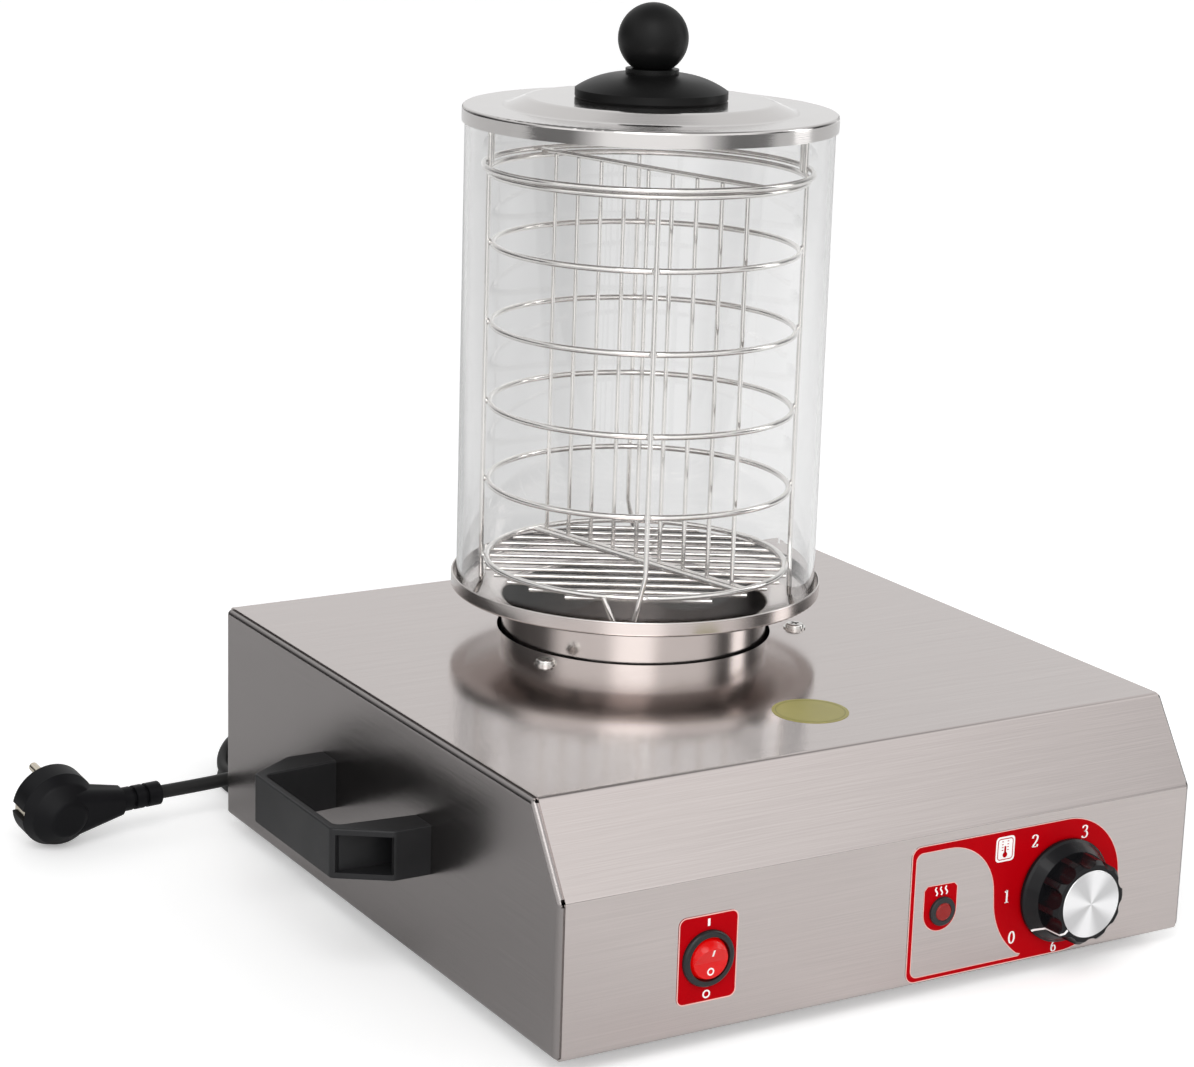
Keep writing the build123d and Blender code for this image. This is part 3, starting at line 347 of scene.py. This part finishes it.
def make_materials():
    m = {}
    m["wrap"] = brushed_sheet("wrap_steel", STEEL, (18.0, 3400.0, 3400.0), (0.10, 0.15), 0.05)
    # side panels: darker steel colour is painted shade; the upright grain and roughness are their own
    m["shaded_sides"] = brushed_sheet("side_steel_painted_shade", SHADED_SIDE_STEEL, (3000.0, 18.0, 3000.0), (0.20, 0.27), 0.3)
    m["plain_steel"] = brushed_sheet("plate_steel", (0.5, 0.5, 0.5), (14.0, 1500.0, 1500.0), (0.35, 0.5))
    m["pan_steel"] = spun_metal("pan_spun", (0.66, 0.62, 0.60), COLUMN, (0.16, 0.23), 0.10)
    m["lid_steel"] = spun_metal("lid_spun", (0.62, 0.60, 0.59), COLUMN, (0.1, 0.17), 0.25)
    m["bright_wire"] = plain_metal("wire_bright", (0.76, 0.74, 0.72), (0.10, 0.18), 90.0)
    m["screw_steel"] = plain_metal("screw_plated", (0.7, 0.69, 0.67), (0.16, 0.3), 160.0)
    m["foot_rubber"] = moulded_plastic("rubber", (0.02, 0.02, 0.02), (0.6, 0.75), 700.0, 0.2)
    m["handle_plastic"] = moulded_plastic("handle_black", (0.014, 0.014, 0.015), (0.36, 0.48), 1300.0, 0.22)
    m["knob_plastic"] = moulded_plastic("knob_black", (0.006, 0.006, 0.007), (0.22, 0.32), 500.0, 0.04,
                                        coat=0.1, gloss=0.15)
    m["lid_knob_plastic"] = moulded_plastic("phenolic_black", (0.006, 0.006, 0.006), (0.34, 0.46), 900.0,
                                            0.12, gloss=0.14)
    m["switch_plastic"] = moulded_plastic("switch_black", (0.016, 0.017, 0.018), (0.26, 0.36), 700.0, 0.05)
    m["rocker_red"] = clear_red("rocker_clear_red", (0.62, 0.002, 0.002), (0.8, 0.0, 0.0))
    m["lamp_red"] = clear_red("lamp_clear_red", (0.32, 0.012, 0.01), (0.12, 0.0, 0.0))
    m["label_red"] = printed_film("film_red", (0.40, 0.0, 0.003), 0.4, 0.03)
    m["label_print"] = m["wrap"]
    m["print_white"] = printed_film("print_white", (0.88, 0.86, 0.85), 0.45, 0.1)
    m["print_pale"] = printed_film("print_pale", (0.80, 0.46, 0.42), 0.45, 0.1)
    m["sticker_film"] = printed_film("film_olive", (0.33, 0.29, 0.06), 0.3, 0.3)
    m["print_olive"] = printed_film("print_olive", (0.20, 0.18, 0.02), 0.3, 0.3)
    m["knob_aluminium"] = spun_disc("cap_spun", (0.86, 0.86, 0.87), 0.0978, 0.041)
    m["plate_aluminium"] = plain_metal("plate_cast", (0.62, 0.62, 0.63), (0.35, 0.5), 400.0, 0.2)
    m["clear_glass"] = clear_glass("glass_clear", (1.0, 1.0, 1.0))
    m["brass"] = plain_metal("brass_bright", (0.75, 0.56, 0.24), (0.2, 0.3), 200.0)
    m["copper"] = plain_metal("copper_drawn", (0.72, 0.40, 0.25), (0.2, 0.3), 200.0)
    m["inner_plastic"] = moulded_plastic("inner_cream", (0.62, 0.59, 0.52), (0.4, 0.5))
    m["wire_insulation"] = moulded_plastic("wire_brown", (0.16, 0.07, 0.03), (0.35, 0.45))
    m["earth_insulation"] = moulded_plastic("wire_green", (0.30, 0.48, 0.05), (0.35, 0.45))
    m["cord_black"] = moulded_plastic("sheath_black", (0.014, 0.014, 0.014), (0.42, 0.55), 500.0, 0.1)
    m["tie_black"] = moulded_plastic("tie_black", (0.02, 0.02, 0.02), (0.5, 0.6))
    m["plug_black"] = moulded_plastic("plug_black", (0.006, 0.006, 0.007), (0.36, 0.48), 1100.0, 0.12,
                                      gloss=0.12)
    m["pin_nickel"] = plain_metal("nickel", (0.66, 0.6, 0.5), (0.14, 0.26), 200.0)
    return m


def dress(obj, material):
    obj.data.materials.clear()
    obj.data.materials.append(material)


def dress_cad(materials):
    own = {"casing_wrap": "wrap", "side_panel_left": "shaded_sides", "side_panel_right": "shaded_sides"}
    for part in frame["record"]["subparts"]:
        node = part["node"]
        key = own.get(node, part["material_slot"])
        dress(frame["nodes"][node], materials[key])


# ---- flat print on the front panel and the knob ------------------------
FRONT_FACE = -172.25    # outer face of the labels
FLOOR_GAP = 8.0         # bottom edge of the sheet above the floor
PRINT_T = 0.05          # thickness of one layer of print
PRINT_TOP = PRINT_T * 2  # top of what is printed over the red
ICON_TOP = PRINT_T * 3  # top of what is printed over the white


def piece(name, mesh, body, material):
    obj = bpy.data.objects.new(name, mesh)
    bpy.context.scene.collection.objects.link(obj)
    dress(obj, material)
    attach(obj, body)
    return obj


def arc(cx, cz, radius, start, end, steps=14):
    angles = [math.radians(start + (end - start) * i / steps) for i in range(steps + 1)]
    return [(cx + radius * math.cos(angle), cz + radius * math.sin(angle)) for angle in angles]


def rounded_box(x0, x1, z0, z1, r, steps=5):
    points = arc(x1 - r, z1 - r, r, 90, 0, steps) + arc(x1 - r, z0 + r, r, 0, -90, steps)
    return points + arc(x0 + r, z0 + r, r, 270, 180, steps) + arc(x0 + r, z1 - r, r, 180, 90, steps)


def on_front(x, z, out):
    return Vector((x * MM, (FRONT_FACE - out) * MM, (z + FLOOR_GAP) * MM))


def slab(bm, loops, low, high, place=on_front):
    """A thin plate between two distances from the label face; the loops after the first are its holes."""
    edges = []
    for loop in loops:
        verts = [bm.verts.new(place(x, z, high)) for x, z in loop]
        edges += [bm.edges.new((a, b)) for a, b in zip(verts, verts[1:] + verts[:1])]
    filled = bmesh.ops.triangle_fill(bm, edges=edges, use_beauty=True, use_dissolve=False)
    faces = [g for g in filled["geom"] if isinstance(g, bmesh.types.BMFace)]
    wanted = place(0, 0, high) - place(0, 0, low)
    for face in faces:
        face.normal_update()
        if face.normal.dot(wanted) < 0:
            face.normal_flip()
    walls = bmesh.ops.extrude_face_region(bm, geom=faces)
    moved = [g for g in walls["geom"] if isinstance(g, bmesh.types.BMVert)]
    back = place(0, 0, low) - place(0, 0, high)
    bmesh.ops.translate(bm, verts=moved, vec=back)
    bmesh.ops.recalc_face_normals(bm, faces=bm.faces[:])


def ribbon(bm, points, widths, low, high, closed=False, place=on_front):
    """A stroke of changing width along flat points."""
    count = len(points)
    rows = []
    for i, (x, z) in enumerate(points):
        before = points[(i - 1) % count] if closed or i > 0 else points[0]
        after = points[(i + 1) % count] if closed or i < count - 1 else points[-1]
        dx, dz = after[0] - before[0], after[1] - before[1]
        size = math.hypot(dx, dz)
        nx, nz = -dz / size, dx / size
        half = widths(dx / size, dz / size) / 2
        rows.append([bm.verts.new(place(x + s * nx * half, z + s * nz * half, out))
                     for s, out in ((1, low), (1, high), (-1, high), (-1, low))])
    pairs = list(zip(rows, rows[1:] + rows[:1])) if closed else list(zip(rows, rows[1:]))
    for a, b in pairs:
        for k in range(4):
            bm.faces.new((a[k], b[k], b[(k + 1) % 4], a[(k + 1) % 4]))
    if not closed:
        bm.faces.new(rows[0])
        bm.faces.new(rows[-1][::-1])


def finish_mesh(bm, name):
    bmesh.ops.recalc_face_normals(bm, faces=bm.faces[:])
    mesh = bpy.data.meshes.new(name)
    bm.to_mesh(mesh)
    bm.free()
    return mesh


def smooth_line(points, steps=7):
    """Catmull-Rom curve through the points."""
    padded = [points[0]] + list(points) + [points[-1]]
    line = []
    for a, b, c, d in zip(padded, padded[1:], padded[2:], padded[3:]):
        for i in range(steps):
            t = i / steps
            line.append(tuple(0.5 * (2 * b[k] + (c[k] - a[k]) * t
                                     + (2 * a[k] - 5 * b[k] + 4 * c[k] - d[k]) * t ** 2
                                     + (3 * b[k] - a[k] - 3 * c[k] + d[k]) * t ** 3) for k in (0, 1)))
    return line + [points[-1]]


# Strokes of each digit in a box one unit high; a digit is about 0.6 wide.  The nought is a circle of radius
# one that digit() squeezes into an oval.
DIGIT_STROKES = {
    "0": [arc(0.3, 0.5, 1.0, 0, 340, 17)],
    "1": [[(0.32, 0.02), (0.32, 0.98)], [(0.14, 0.84), (0.32, 0.98)], [(0.14, 0.02), (0.5, 0.02)]],
    "2": [[(0.08, 0.74), (0.12, 0.90), (0.3, 0.98), (0.5, 0.88), (0.52, 0.68), (0.38, 0.42), (0.07, 0.04)],
          [(0.07, 0.05), (0.5, 0.05)], [(0.5, 0.04), (0.56, 0.22)]],
    "3": [[(0.08, 0.8), (0.15, 0.93), (0.3, 0.98), (0.48, 0.88), (0.47, 0.68), (0.34, 0.55), (0.22, 0.53)],
          [(0.22, 0.53), (0.43, 0.48), (0.54, 0.28), (0.45, 0.07), (0.26, 0.02), (0.1, 0.08), (0.07, 0.18)]],
    "4": [[(0.42, 0.02), (0.42, 0.98)], [(0.42, 0.96), (0.04, 0.3)], [(0.04, 0.3), (0.58, 0.3)],
          [(0.28, 0.02), (0.56, 0.02)]],
    "5": [[(0.5, 0.95), (0.16, 0.95)], [(0.16, 0.95), (0.12, 0.54)],
          [(0.12, 0.54), (0.28, 0.61), (0.47, 0.5), (0.53, 0.28), (0.42, 0.07), (0.24, 0.02), (0.07, 0.1)]],
    "6": [[(0.5, 0.96), (0.28, 0.86), (0.13, 0.62), (0.09, 0.34), (0.15, 0.1), (0.3, 0.02), (0.47, 0.1),
           (0.52, 0.3), (0.44, 0.5), (0.3, 0.56), (0.12, 0.4)]],
}


DIGIT_MIDDLE = (0.3, 0.5)
ZERO_HALF = (0.235, 0.46)       # half width and half height of the nought's oval
THIN_STROKE = 0.055             # width of a level stroke, as a share of the digit's height
UPRIGHT_EXTRA = 0.10            # what an upright stroke adds to it


def digit(bm, text, cx, cz, height, low, high):
    def width(_, dz):
        return height * (THIN_STROKE + UPRIGHT_EXTRA * abs(dz))
    mid_x, mid_z = DIGIT_MIDDLE
    for stroke in DIGIT_STROKES[text]:
        if text == "0":
            line = [(mid_x + ZERO_HALF[0] * (x - mid_x), mid_z + ZERO_HALF[1] * (z - mid_z))
                    for x, z in stroke]
        else:
            line = smooth_line(stroke) if len(stroke) > 2 else stroke
        placed = [(cx + (x - mid_x) * height, cz + (z - mid_z) * height) for x, z in line]
        ribbon(bm, placed, width, low, high, closed=text == "0")


LABEL_EDGE = (9.6, 1.7, 67.7)       # left, bottom and top of the dial label
LABEL_ROUND = (98.4, 34.7, 33.0)    # centre and radius of its round end
LABEL_CORNER = 5.0
DIGIT_HEIGHT = 6.2
SIX_HEIGHT = 5.4
DIGIT_PLACES = {"0": (69.6, 14.0), "1": (65.1, 35.0), "2": (79.6, 59.7), "3": (109.0, 59.7),
                "4": (124.2, 34.4), "5": (119.0, 13.4), "6": (94.9, 5.2)}


def dial_outline(inset=0.0):
    left, low, high = LABEL_EDGE
    cx, cz, radius = LABEL_ROUND
    corner = LABEL_CORNER - inset
    points = arc(cx, cz, radius - inset, 90, -90, 36)
    points += arc(left + inset + corner, low + inset + corner, corner, 270, 180, 6)
    return points + arc(left + inset + corner, high - inset - corner, corner, 180, 90, 6)


def window_outline():
    """The bare steel part of the dial label, with its S-shaped right side."""
    points = arc(15.8, 60.6, 3.6, 180, 90, 6)
    points += arc(30.6, 37.5, 26.7, 90, 2, 14)
    points += arc(94.6, 35.6, 37.0, 181, 234, 14)
    points += [(75.2, 4.9), (74.2, 4.1)]
    return points + arc(16.0, 7.9, 3.8, 270, 180, 6)


def lamp_outline():
    return [(17.6, 45.6), (19.4, 47.6)] + [(34.4, 47.3), (36.2, 45.4)] + arc(26.9, 34.4, 9.3, 0, -180, 20)


def flame_wave(x, z0, z1):
    """One of the three upright waves that stand for heat above the lamp."""
    steps, swing = 12, 0.55
    return [(x + swing * math.sin(2 * math.pi * i / steps), z0 + (z1 - z0) * i / steps)
            for i in range(steps + 1)]


def hairline(width):
    return lambda dx, dz: width


def make_dial_print(m):
    red = bmesh.new()
    slab(red, [dial_outline(0.45), window_outline()], 0.0, PRINT_T)
    slab(red, [lamp_outline()], 0.0, PRINT_T)
    piece("dial_print_red", finish_mesh(red, "dial_print_red"), "base", m["label_red"])
    pale = bmesh.new()
    for loop in (dial_outline(0.3), window_outline(), lamp_outline()):
        ribbon(pale, loop, hairline(0.32), 0.0, PRINT_TOP, closed=True)
    piece("dial_print_edge", finish_mesh(pale, "dial_print_edge"), "base", m["print_pale"])
    white = bmesh.new()
    for text, (x, z) in DIGIT_PLACES.items():
        digit(white, text, x, z, SIX_HEIGHT if text == "6" else DIGIT_HEIGHT, 0.0, PRINT_TOP)
    slab(white, [rounded_box(57.1, 67.8, 52.6, 64.8, 2.0)], 0.0, PRINT_TOP)
    for x in (24.4, 27.2, 30.0):
        ribbon(white, flame_wave(x, 42.4, 46.4), hairline(0.75), 0.0, PRINT_TOP)
    piece("dial_print_white", finish_mesh(white, "dial_print_white"), "base", m["print_white"])
    icon = bmesh.new()
    ribbon(icon, rounded_box(58.2, 66.7, 53.7, 63.7, 1.4), hairline(0.4), PRINT_TOP, ICON_TOP, closed=True)
    slab(icon, [arc(62.4, 55.9, 1.35, 0, 345, 16)], PRINT_TOP, ICON_TOP)
    slab(icon, [rounded_box(61.85, 62.95, 56.8, 60.2, 0.5)], PRINT_TOP, ICON_TOP)
    for z in (58.2, 59.6, 61.0, 62.4):
        for x in (60.4, 63.5):
            slab(icon, [rounded_box(x, x + 0.9, z - 0.2, z + 0.2, 0.1)], PRINT_TOP, ICON_TOP)
    piece("dial_print_icon", finish_mesh(icon, "dial_print_icon"), "base", m["label_red"])


def make_switch_print(m):
    edge = bmesh.new()
    ribbon(edge, rounded_box(-113.0, -83.0, 14.9, 55.1, 3.3), hairline(0.55), 0.0, PRINT_T, closed=True)
    piece("switch_print_edge", finish_mesh(edge, "switch_print_edge"), "base", m["print_pale"])
    white = bmesh.new()
    slab(white, [rounded_box(-98.6, -97.4, 49.9, 53.3, 0.25)], 0.0, PRINT_TOP)
    ribbon(white, arc(-98.0, 18.2, 1.6, 0, 345, 23), hairline(0.75), 0.0, PRINT_TOP, closed=True)
    piece("switch_print_white", finish_mesh(white, "switch_print_white"), "base",
          m["print_white"])


STICKER_MIDDLE = (2.0, -98.4, 119.65)


def on_sticker(x, y, out):
    middle_x, middle_y, top = STICKER_MIDDLE
    return Vector(((x + middle_x) * MM, (y + middle_y) * MM, (top + out) * MM))


def make_sticker_print(m):
    bm = bmesh.new()
    ribbon(bm, arc(0, 0, 16.2, 0, 355, 71), hairline(0.5), 0.0, PRINT_T, closed=True, place=on_sticker)
    piece("sticker_print", finish_mesh(bm, "sticker_print"), "base", m["print_olive"])


KNOB_MIDDLE = Vector((97.8, -173.2, 41.0))
POINTER_ANGLE = 221.0
POINTER_WIDTH = 1.2
POINTER_PROFILE = [(25.1, 1.8), (24.2, 2.6), (20.9, 7.65), (20.8, 8.0), (20.47, 17.8), (18.65, 19.66),
                   (16.5, 19.72)]   # radius, and distance in front of KNOB_MIDDLE


def make_pointer(m):
    """White line up the knob's skirt, along one rib and over its front edge."""
    a = math.radians(POINTER_ANGLE)
    outward = Vector((math.cos(a), 0, math.sin(a)))
    across = Vector((-math.sin(a), 0, math.cos(a))) * POINTER_WIDTH / 2
    front = Vector((0, -1, 0))
    bm = bmesh.new()
    rows = []
    for i, (radius, height) in enumerate(POINTER_PROFILE):
        before = Vector(POINTER_PROFILE[max(i - 1, 0)])
        after = Vector(POINTER_PROFILE[min(i + 1, len(POINTER_PROFILE) - 1)])
        along = (after - before).normalized()
        lift = outward * along.y - front * along.x
        middle = KNOB_MIDDLE + outward * radius + front * height
        rows.append([bm.verts.new((middle + across * side + lift * out) * MM)
                     for side, out in ((1, -0.1), (1, 0.08), (-1, 0.08), (-1, -0.1))])
    for first, second in zip(rows, rows[1:]):
        for k in range(4):
            bm.faces.new((first[k], second[k], second[(k + 1) % 4], first[(k + 1) % 4]))
    bm.faces.new(rows[0])
    bm.faces.new(rows[-1][::-1])
    piece("knob_pointer", finish_mesh(bm, "knob_pointer"), "thermostat_knob",
          m["print_white"])


ROCK_VALLEY = Vector((-98.0, -175.11, 42.05))
ROCK_UPPER = math.radians(22.0)     # lean of the rocker's upper facet
MARK_SINK = -0.03                   # the marks start just inside the facets


def on_upper_facet(x, z, out):
    along = Vector((0, -math.sin(ROCK_UPPER), math.cos(ROCK_UPPER)))
    lift = Vector((0, -math.cos(ROCK_UPPER), -math.sin(ROCK_UPPER)))
    return (ROCK_VALLEY + Vector((x, 0, 0)) + along * z + lift * out) * MM


def on_lower_facet(x, z, out):
    return (ROCK_VALLEY + Vector((x, -out, z))) * MM


def make_rocker_marks(m):
    bm = bmesh.new()
    slab(bm, [rounded_box(-0.45, 0.45, 3.4, 7.0, 0.2)], MARK_SINK, PRINT_T, place=on_upper_facet)
    ribbon(bm, arc(0, -4.4, 1.45, 0, 345, 23), hairline(0.7), MARK_SINK, PRINT_T, closed=True,
           place=on_lower_facet)
    piece("rocker_marks", finish_mesh(bm, "rocker_marks"), "rocker", m["print_white"])


WELD_RADIUS = 76.6
WELD_BEARINGS = (62, 152, 242, 332)
WELD_HEIGHTS = (305.4, 266.0, 226.4, 187.0, 147.2)
COLUMN_Y = 57.0
BEAD_HALF = (1.3 * MM, 2.1 * MM, 1.7 * MM, 1.0)     # half sizes: outward, along the ring, upright


def make_welds(m):
    """Small weld beads where the upright wires meet the basket's rings."""
    bm = bmesh.new()
    for bearing in WELD_BEARINGS:
        a = math.radians(bearing)
        for height in WELD_HEIGHTS:
            place = Vector((WELD_RADIUS * math.cos(a), WELD_RADIUS * math.sin(a) + COLUMN_Y,
                            height + FLOOR_GAP)) * MM
            turn = Matrix.Rotation(a, 4, "Z")
            bead = Matrix.Translation(place) @ turn @ Matrix.Diagonal(BEAD_HALF)
            bmesh.ops.create_uvsphere(bm, u_segments=12, v_segments=8, radius=1.0, matrix=bead)
    for face in bm.faces:
        face.smooth = True
    piece("basket_welds", finish_mesh(bm, "basket_welds"), "basket", m["bright_wire"])


# ---- floor and light ----------------------------------------------------
SKY_FRONT = 1.25        # strength of the studio's walls in front of and behind the object
SKY_BACK = 0.88
SKY_DARK = 0.05         # share of that on the dark flanks
SKY_BELOW = 1.2
SKY_BELOW_FLANK = 0.2
LAMP_WAY = (-0.49, -0.82, 0.30)
LAMP_GLOW = 1.1
LAMP_EDGE = (0.93, 0.98)        # where the lamp's glow starts and is full, as a cosine
# Over what share of the direction each part of the sky fades in or out.
FRONT_TO_BACK = (-0.5, 0.5)
FLANK_SIDE = (0.4, 0.8)
FLANK_TOP = (0.3, 0.6)
FLANK_DEPTH = (-0.42, -0.15)
CEILING_HEIGHT = (0.74, 0.86)
CEILING_SHARE = 0.75
HORIZON = (-0.03, 0.03)
BELOW_SIDE = (0.45, 0.75)
LEAST_LEVEL = 0.05              # keeps a direction straight up from a division by nothing


def area_light(name, place, target, size, power):
    data = bpy.data.lights.new(name, "AREA")
    data.shape = "RECTANGLE"
    data.size, data.size_y = size
    data.energy = power
    light = bpy.data.objects.new(name, data)
    aim = (Vector(target) - Vector(place)).to_track_quat("-Z", "Y")
    light.matrix_world = Matrix.Translation(place) @ aim.to_matrix().to_4x4()
    bpy.context.scene.collection.objects.link(light)


def math_node(tree, operation, *values):
    node = tree.nodes.new("ShaderNodeMath")
    node.operation = operation
    for socket, value in zip(node.inputs, values):
        if isinstance(value, (int, float)):
            socket.default_value = value
        else:
            tree.links.new(value, socket)
    return node.outputs[0]


def axis_view(tree, vector, azimuth):
    """Distance of a point, or share of a direction, along a level line at this azimuth."""
    split = tree.nodes.new("ShaderNodeSeparateXYZ")
    tree.links.new(vector, split.inputs[0])
    return math_node(tree, "ADD", math_node(tree, "MULTIPLY", split.outputs["X"], math.cos(azimuth)),
                     math_node(tree, "MULTIPLY", split.outputs["Y"], math.sin(azimuth)))


def across_view(tree, vector):
    return axis_view(tree, vector, math.radians(CAMERA_AZIMUTH))


FLOOR_NEAR = 0.62       # the floor ends this far in front of the object
FLOOR_FAR = 6.0
FLOOR_SEEN = 0.93       # the floor is at least this light to the camera
FLOOR_FAIR = 0.98       # and this light in reflections, with a dimmer band of painted shade
FLOOR_SHADE = 0.72
SHADE_START = (-0.80, -0.55)      # metres across the view, where that band of painted shade fades in and out
SHADE_END = (-0.15, 0.10)
FLOOR_LIFT = 0.3        # light the floor adds for the camera only


def make_stage():
    """White floor, square to the line from the camera, that stops short of the camera.

    It is brighter to the camera than in reflections, so that steel mirrors a greyer floor than is seen, with
    a band of painted shade on it.
    """
    bm = bmesh.new()
    bmesh.ops.create_grid(bm, x_segments=1, y_segments=1, size=1.0)
    middle = (FLOOR_FAR - FLOOR_NEAR) / 2
    half = (FLOOR_FAR + FLOOR_NEAR) / 2
    turn = Matrix.Rotation(math.radians(CAMERA_AZIMUTH), 4, "Z")
    bmesh.ops.transform(bm, verts=bm.verts[:], matrix=turn @ Matrix.Translation((0, middle, 0))
                        @ Matrix.Diagonal((FLOOR_FAR, half, 1, 1)))
    floor = bpy.data.objects.new("floor", finish_mesh(bm, "floor"))
    bpy.context.scene.collection.objects.link(floor)
    material, tree, shader = new_material("floor_pale", (0.92, 0.92, 0.92), roughness=0.6)
    shader.inputs["Emission Color"].default_value = (1.0, 1.0, 1.0, 1.0)
    tree.links.new(mapped(tree, noise_of(tree, position(tree), 3.0), 0.55, 0.65), shader.inputs["Roughness"])
    across = across_view(tree, position(tree))
    # floor grey for reflections, with the band of painted shade across the view
    reflected = math_node(tree, "MAXIMUM", mapped(tree, across, FLOOR_SHADE, FLOOR_FAIR, *SHADE_END),
                          mapped(tree, across, FLOOR_FAIR, FLOOR_SHADE, *SHADE_START))
    seen = tree.nodes.new("ShaderNodeLightPath").outputs["Is Camera Ray"]
    grey = math_node(tree, "MAXIMUM", reflected, math_node(tree, "MULTIPLY", seen, FLOOR_SEEN))
    paint = tree.nodes.new("ShaderNodeCombineColor")
    for channel in ("Red", "Green", "Blue"):
        tree.links.new(grey, paint.inputs[channel])
    tree.links.new(paint.outputs[0], shader.inputs["Base Color"])
    tree.links.new(math_node(tree, "MULTIPLY", seen, FLOOR_LIFT), shader.inputs["Emission Strength"])
    dress(floor, material)
    area_light("key", (-0.9, -1.3, 1.9), (0, 0, 0.15), (1.2, 1.2), 14)
    area_light("right", (1.9, -0.6, 0.8), (0, 0, 0.2), (0.6, 1.4), 6)


def make_world():
    """White studio with two dark flanks and a dark ceiling, and a lamp near the camera.

    The camera sees plain white or brighter; the dark parts show in reflections only.
    """
    world = bpy.data.worlds.new("studio")
    bpy.context.scene.world = world
    world.use_nodes = True
    tree = world.node_tree
    sky = tree.nodes["Background"]
    sky.inputs["Color"].default_value = (1.0, 1.0, 1.0, 1.0)
    direction = tree.nodes.new("ShaderNodeTexCoord").outputs["Generated"]
    split = tree.nodes.new("ShaderNodeSeparateXYZ")
    tree.links.new(direction, split.inputs[0])
    height = split.outputs["Z"]
    level = math_node(tree, "SQRT", math_node(tree, "SUBTRACT", 1.0, math_node(tree, "POWER", height, 2.0)))
    level = math_node(tree, "MAXIMUM", level, LEAST_LEVEL)
    side = math_node(tree, "ABSOLUTE", math_node(tree, "DIVIDE", across_view(tree, direction), level))
    away = axis_view(tree, direction, math.radians(CAMERA_AZIMUTH + 90))
    bright = mapped(tree, away, SKY_FRONT, SKY_BACK, *FRONT_TO_BACK)
    flank = math_node(tree, "MULTIPLY", mapped(tree, side, 0.0, 1.0, *FLANK_SIDE),
                      mapped(tree, height, 1.0, 0.0, *FLANK_TOP))
    flank = math_node(tree, "MULTIPLY", flank, mapped(tree, away, 0.0, 1.0, *FLANK_DEPTH))
    ceiling = mapped(tree, height, 0.0, CEILING_SHARE, *CEILING_HEIGHT)
    dark = math_node(tree, "MAXIMUM", flank, ceiling)
    shade = math_node(tree, "MULTIPLY", bright, mapped(tree, dark, 1.0, SKY_DARK))
    lamp = tree.nodes.new("ShaderNodeVectorMath")
    lamp.operation = "DOT_PRODUCT"
    lamp.inputs[1].default_value = LAMP_WAY
    tree.links.new(direction, lamp.inputs[0])
    shade = math_node(tree, "ADD", shade, mapped(tree, lamp.outputs["Value"], 0.0, LAMP_GLOW, *LAMP_EDGE))
    above = mapped(tree, height, 0.0, 1.0, *HORIZON)
    ground = math_node(tree, "MULTIPLY", mapped(tree, above, 1.0, 0.0),
                       mapped(tree, side, SKY_BELOW, SKY_BELOW_FLANK, *BELOW_SIDE))
    shade = math_node(tree, "ADD", math_node(tree, "MULTIPLY", above, shade), ground)
    path = tree.nodes.new("ShaderNodeLightPath")
    seen = math_node(tree, "MAXIMUM", shade, path.outputs["Is Camera Ray"])
    tree.links.new(seen, sky.inputs["Strength"])


make_camera()
cord = make_cord()
materials = make_materials()
dress(cord, materials["cord_black"])
dress_cad(materials)
make_dial_print(materials)
make_switch_print(materials)
make_sticker_print(materials)
make_pointer(materials)
make_rocker_marks(materials)
make_welds(materials)
make_stage()
make_world()
bpy.context.scene.view_settings.view_transform = "Standard"

bpy.context.view_layer.update()
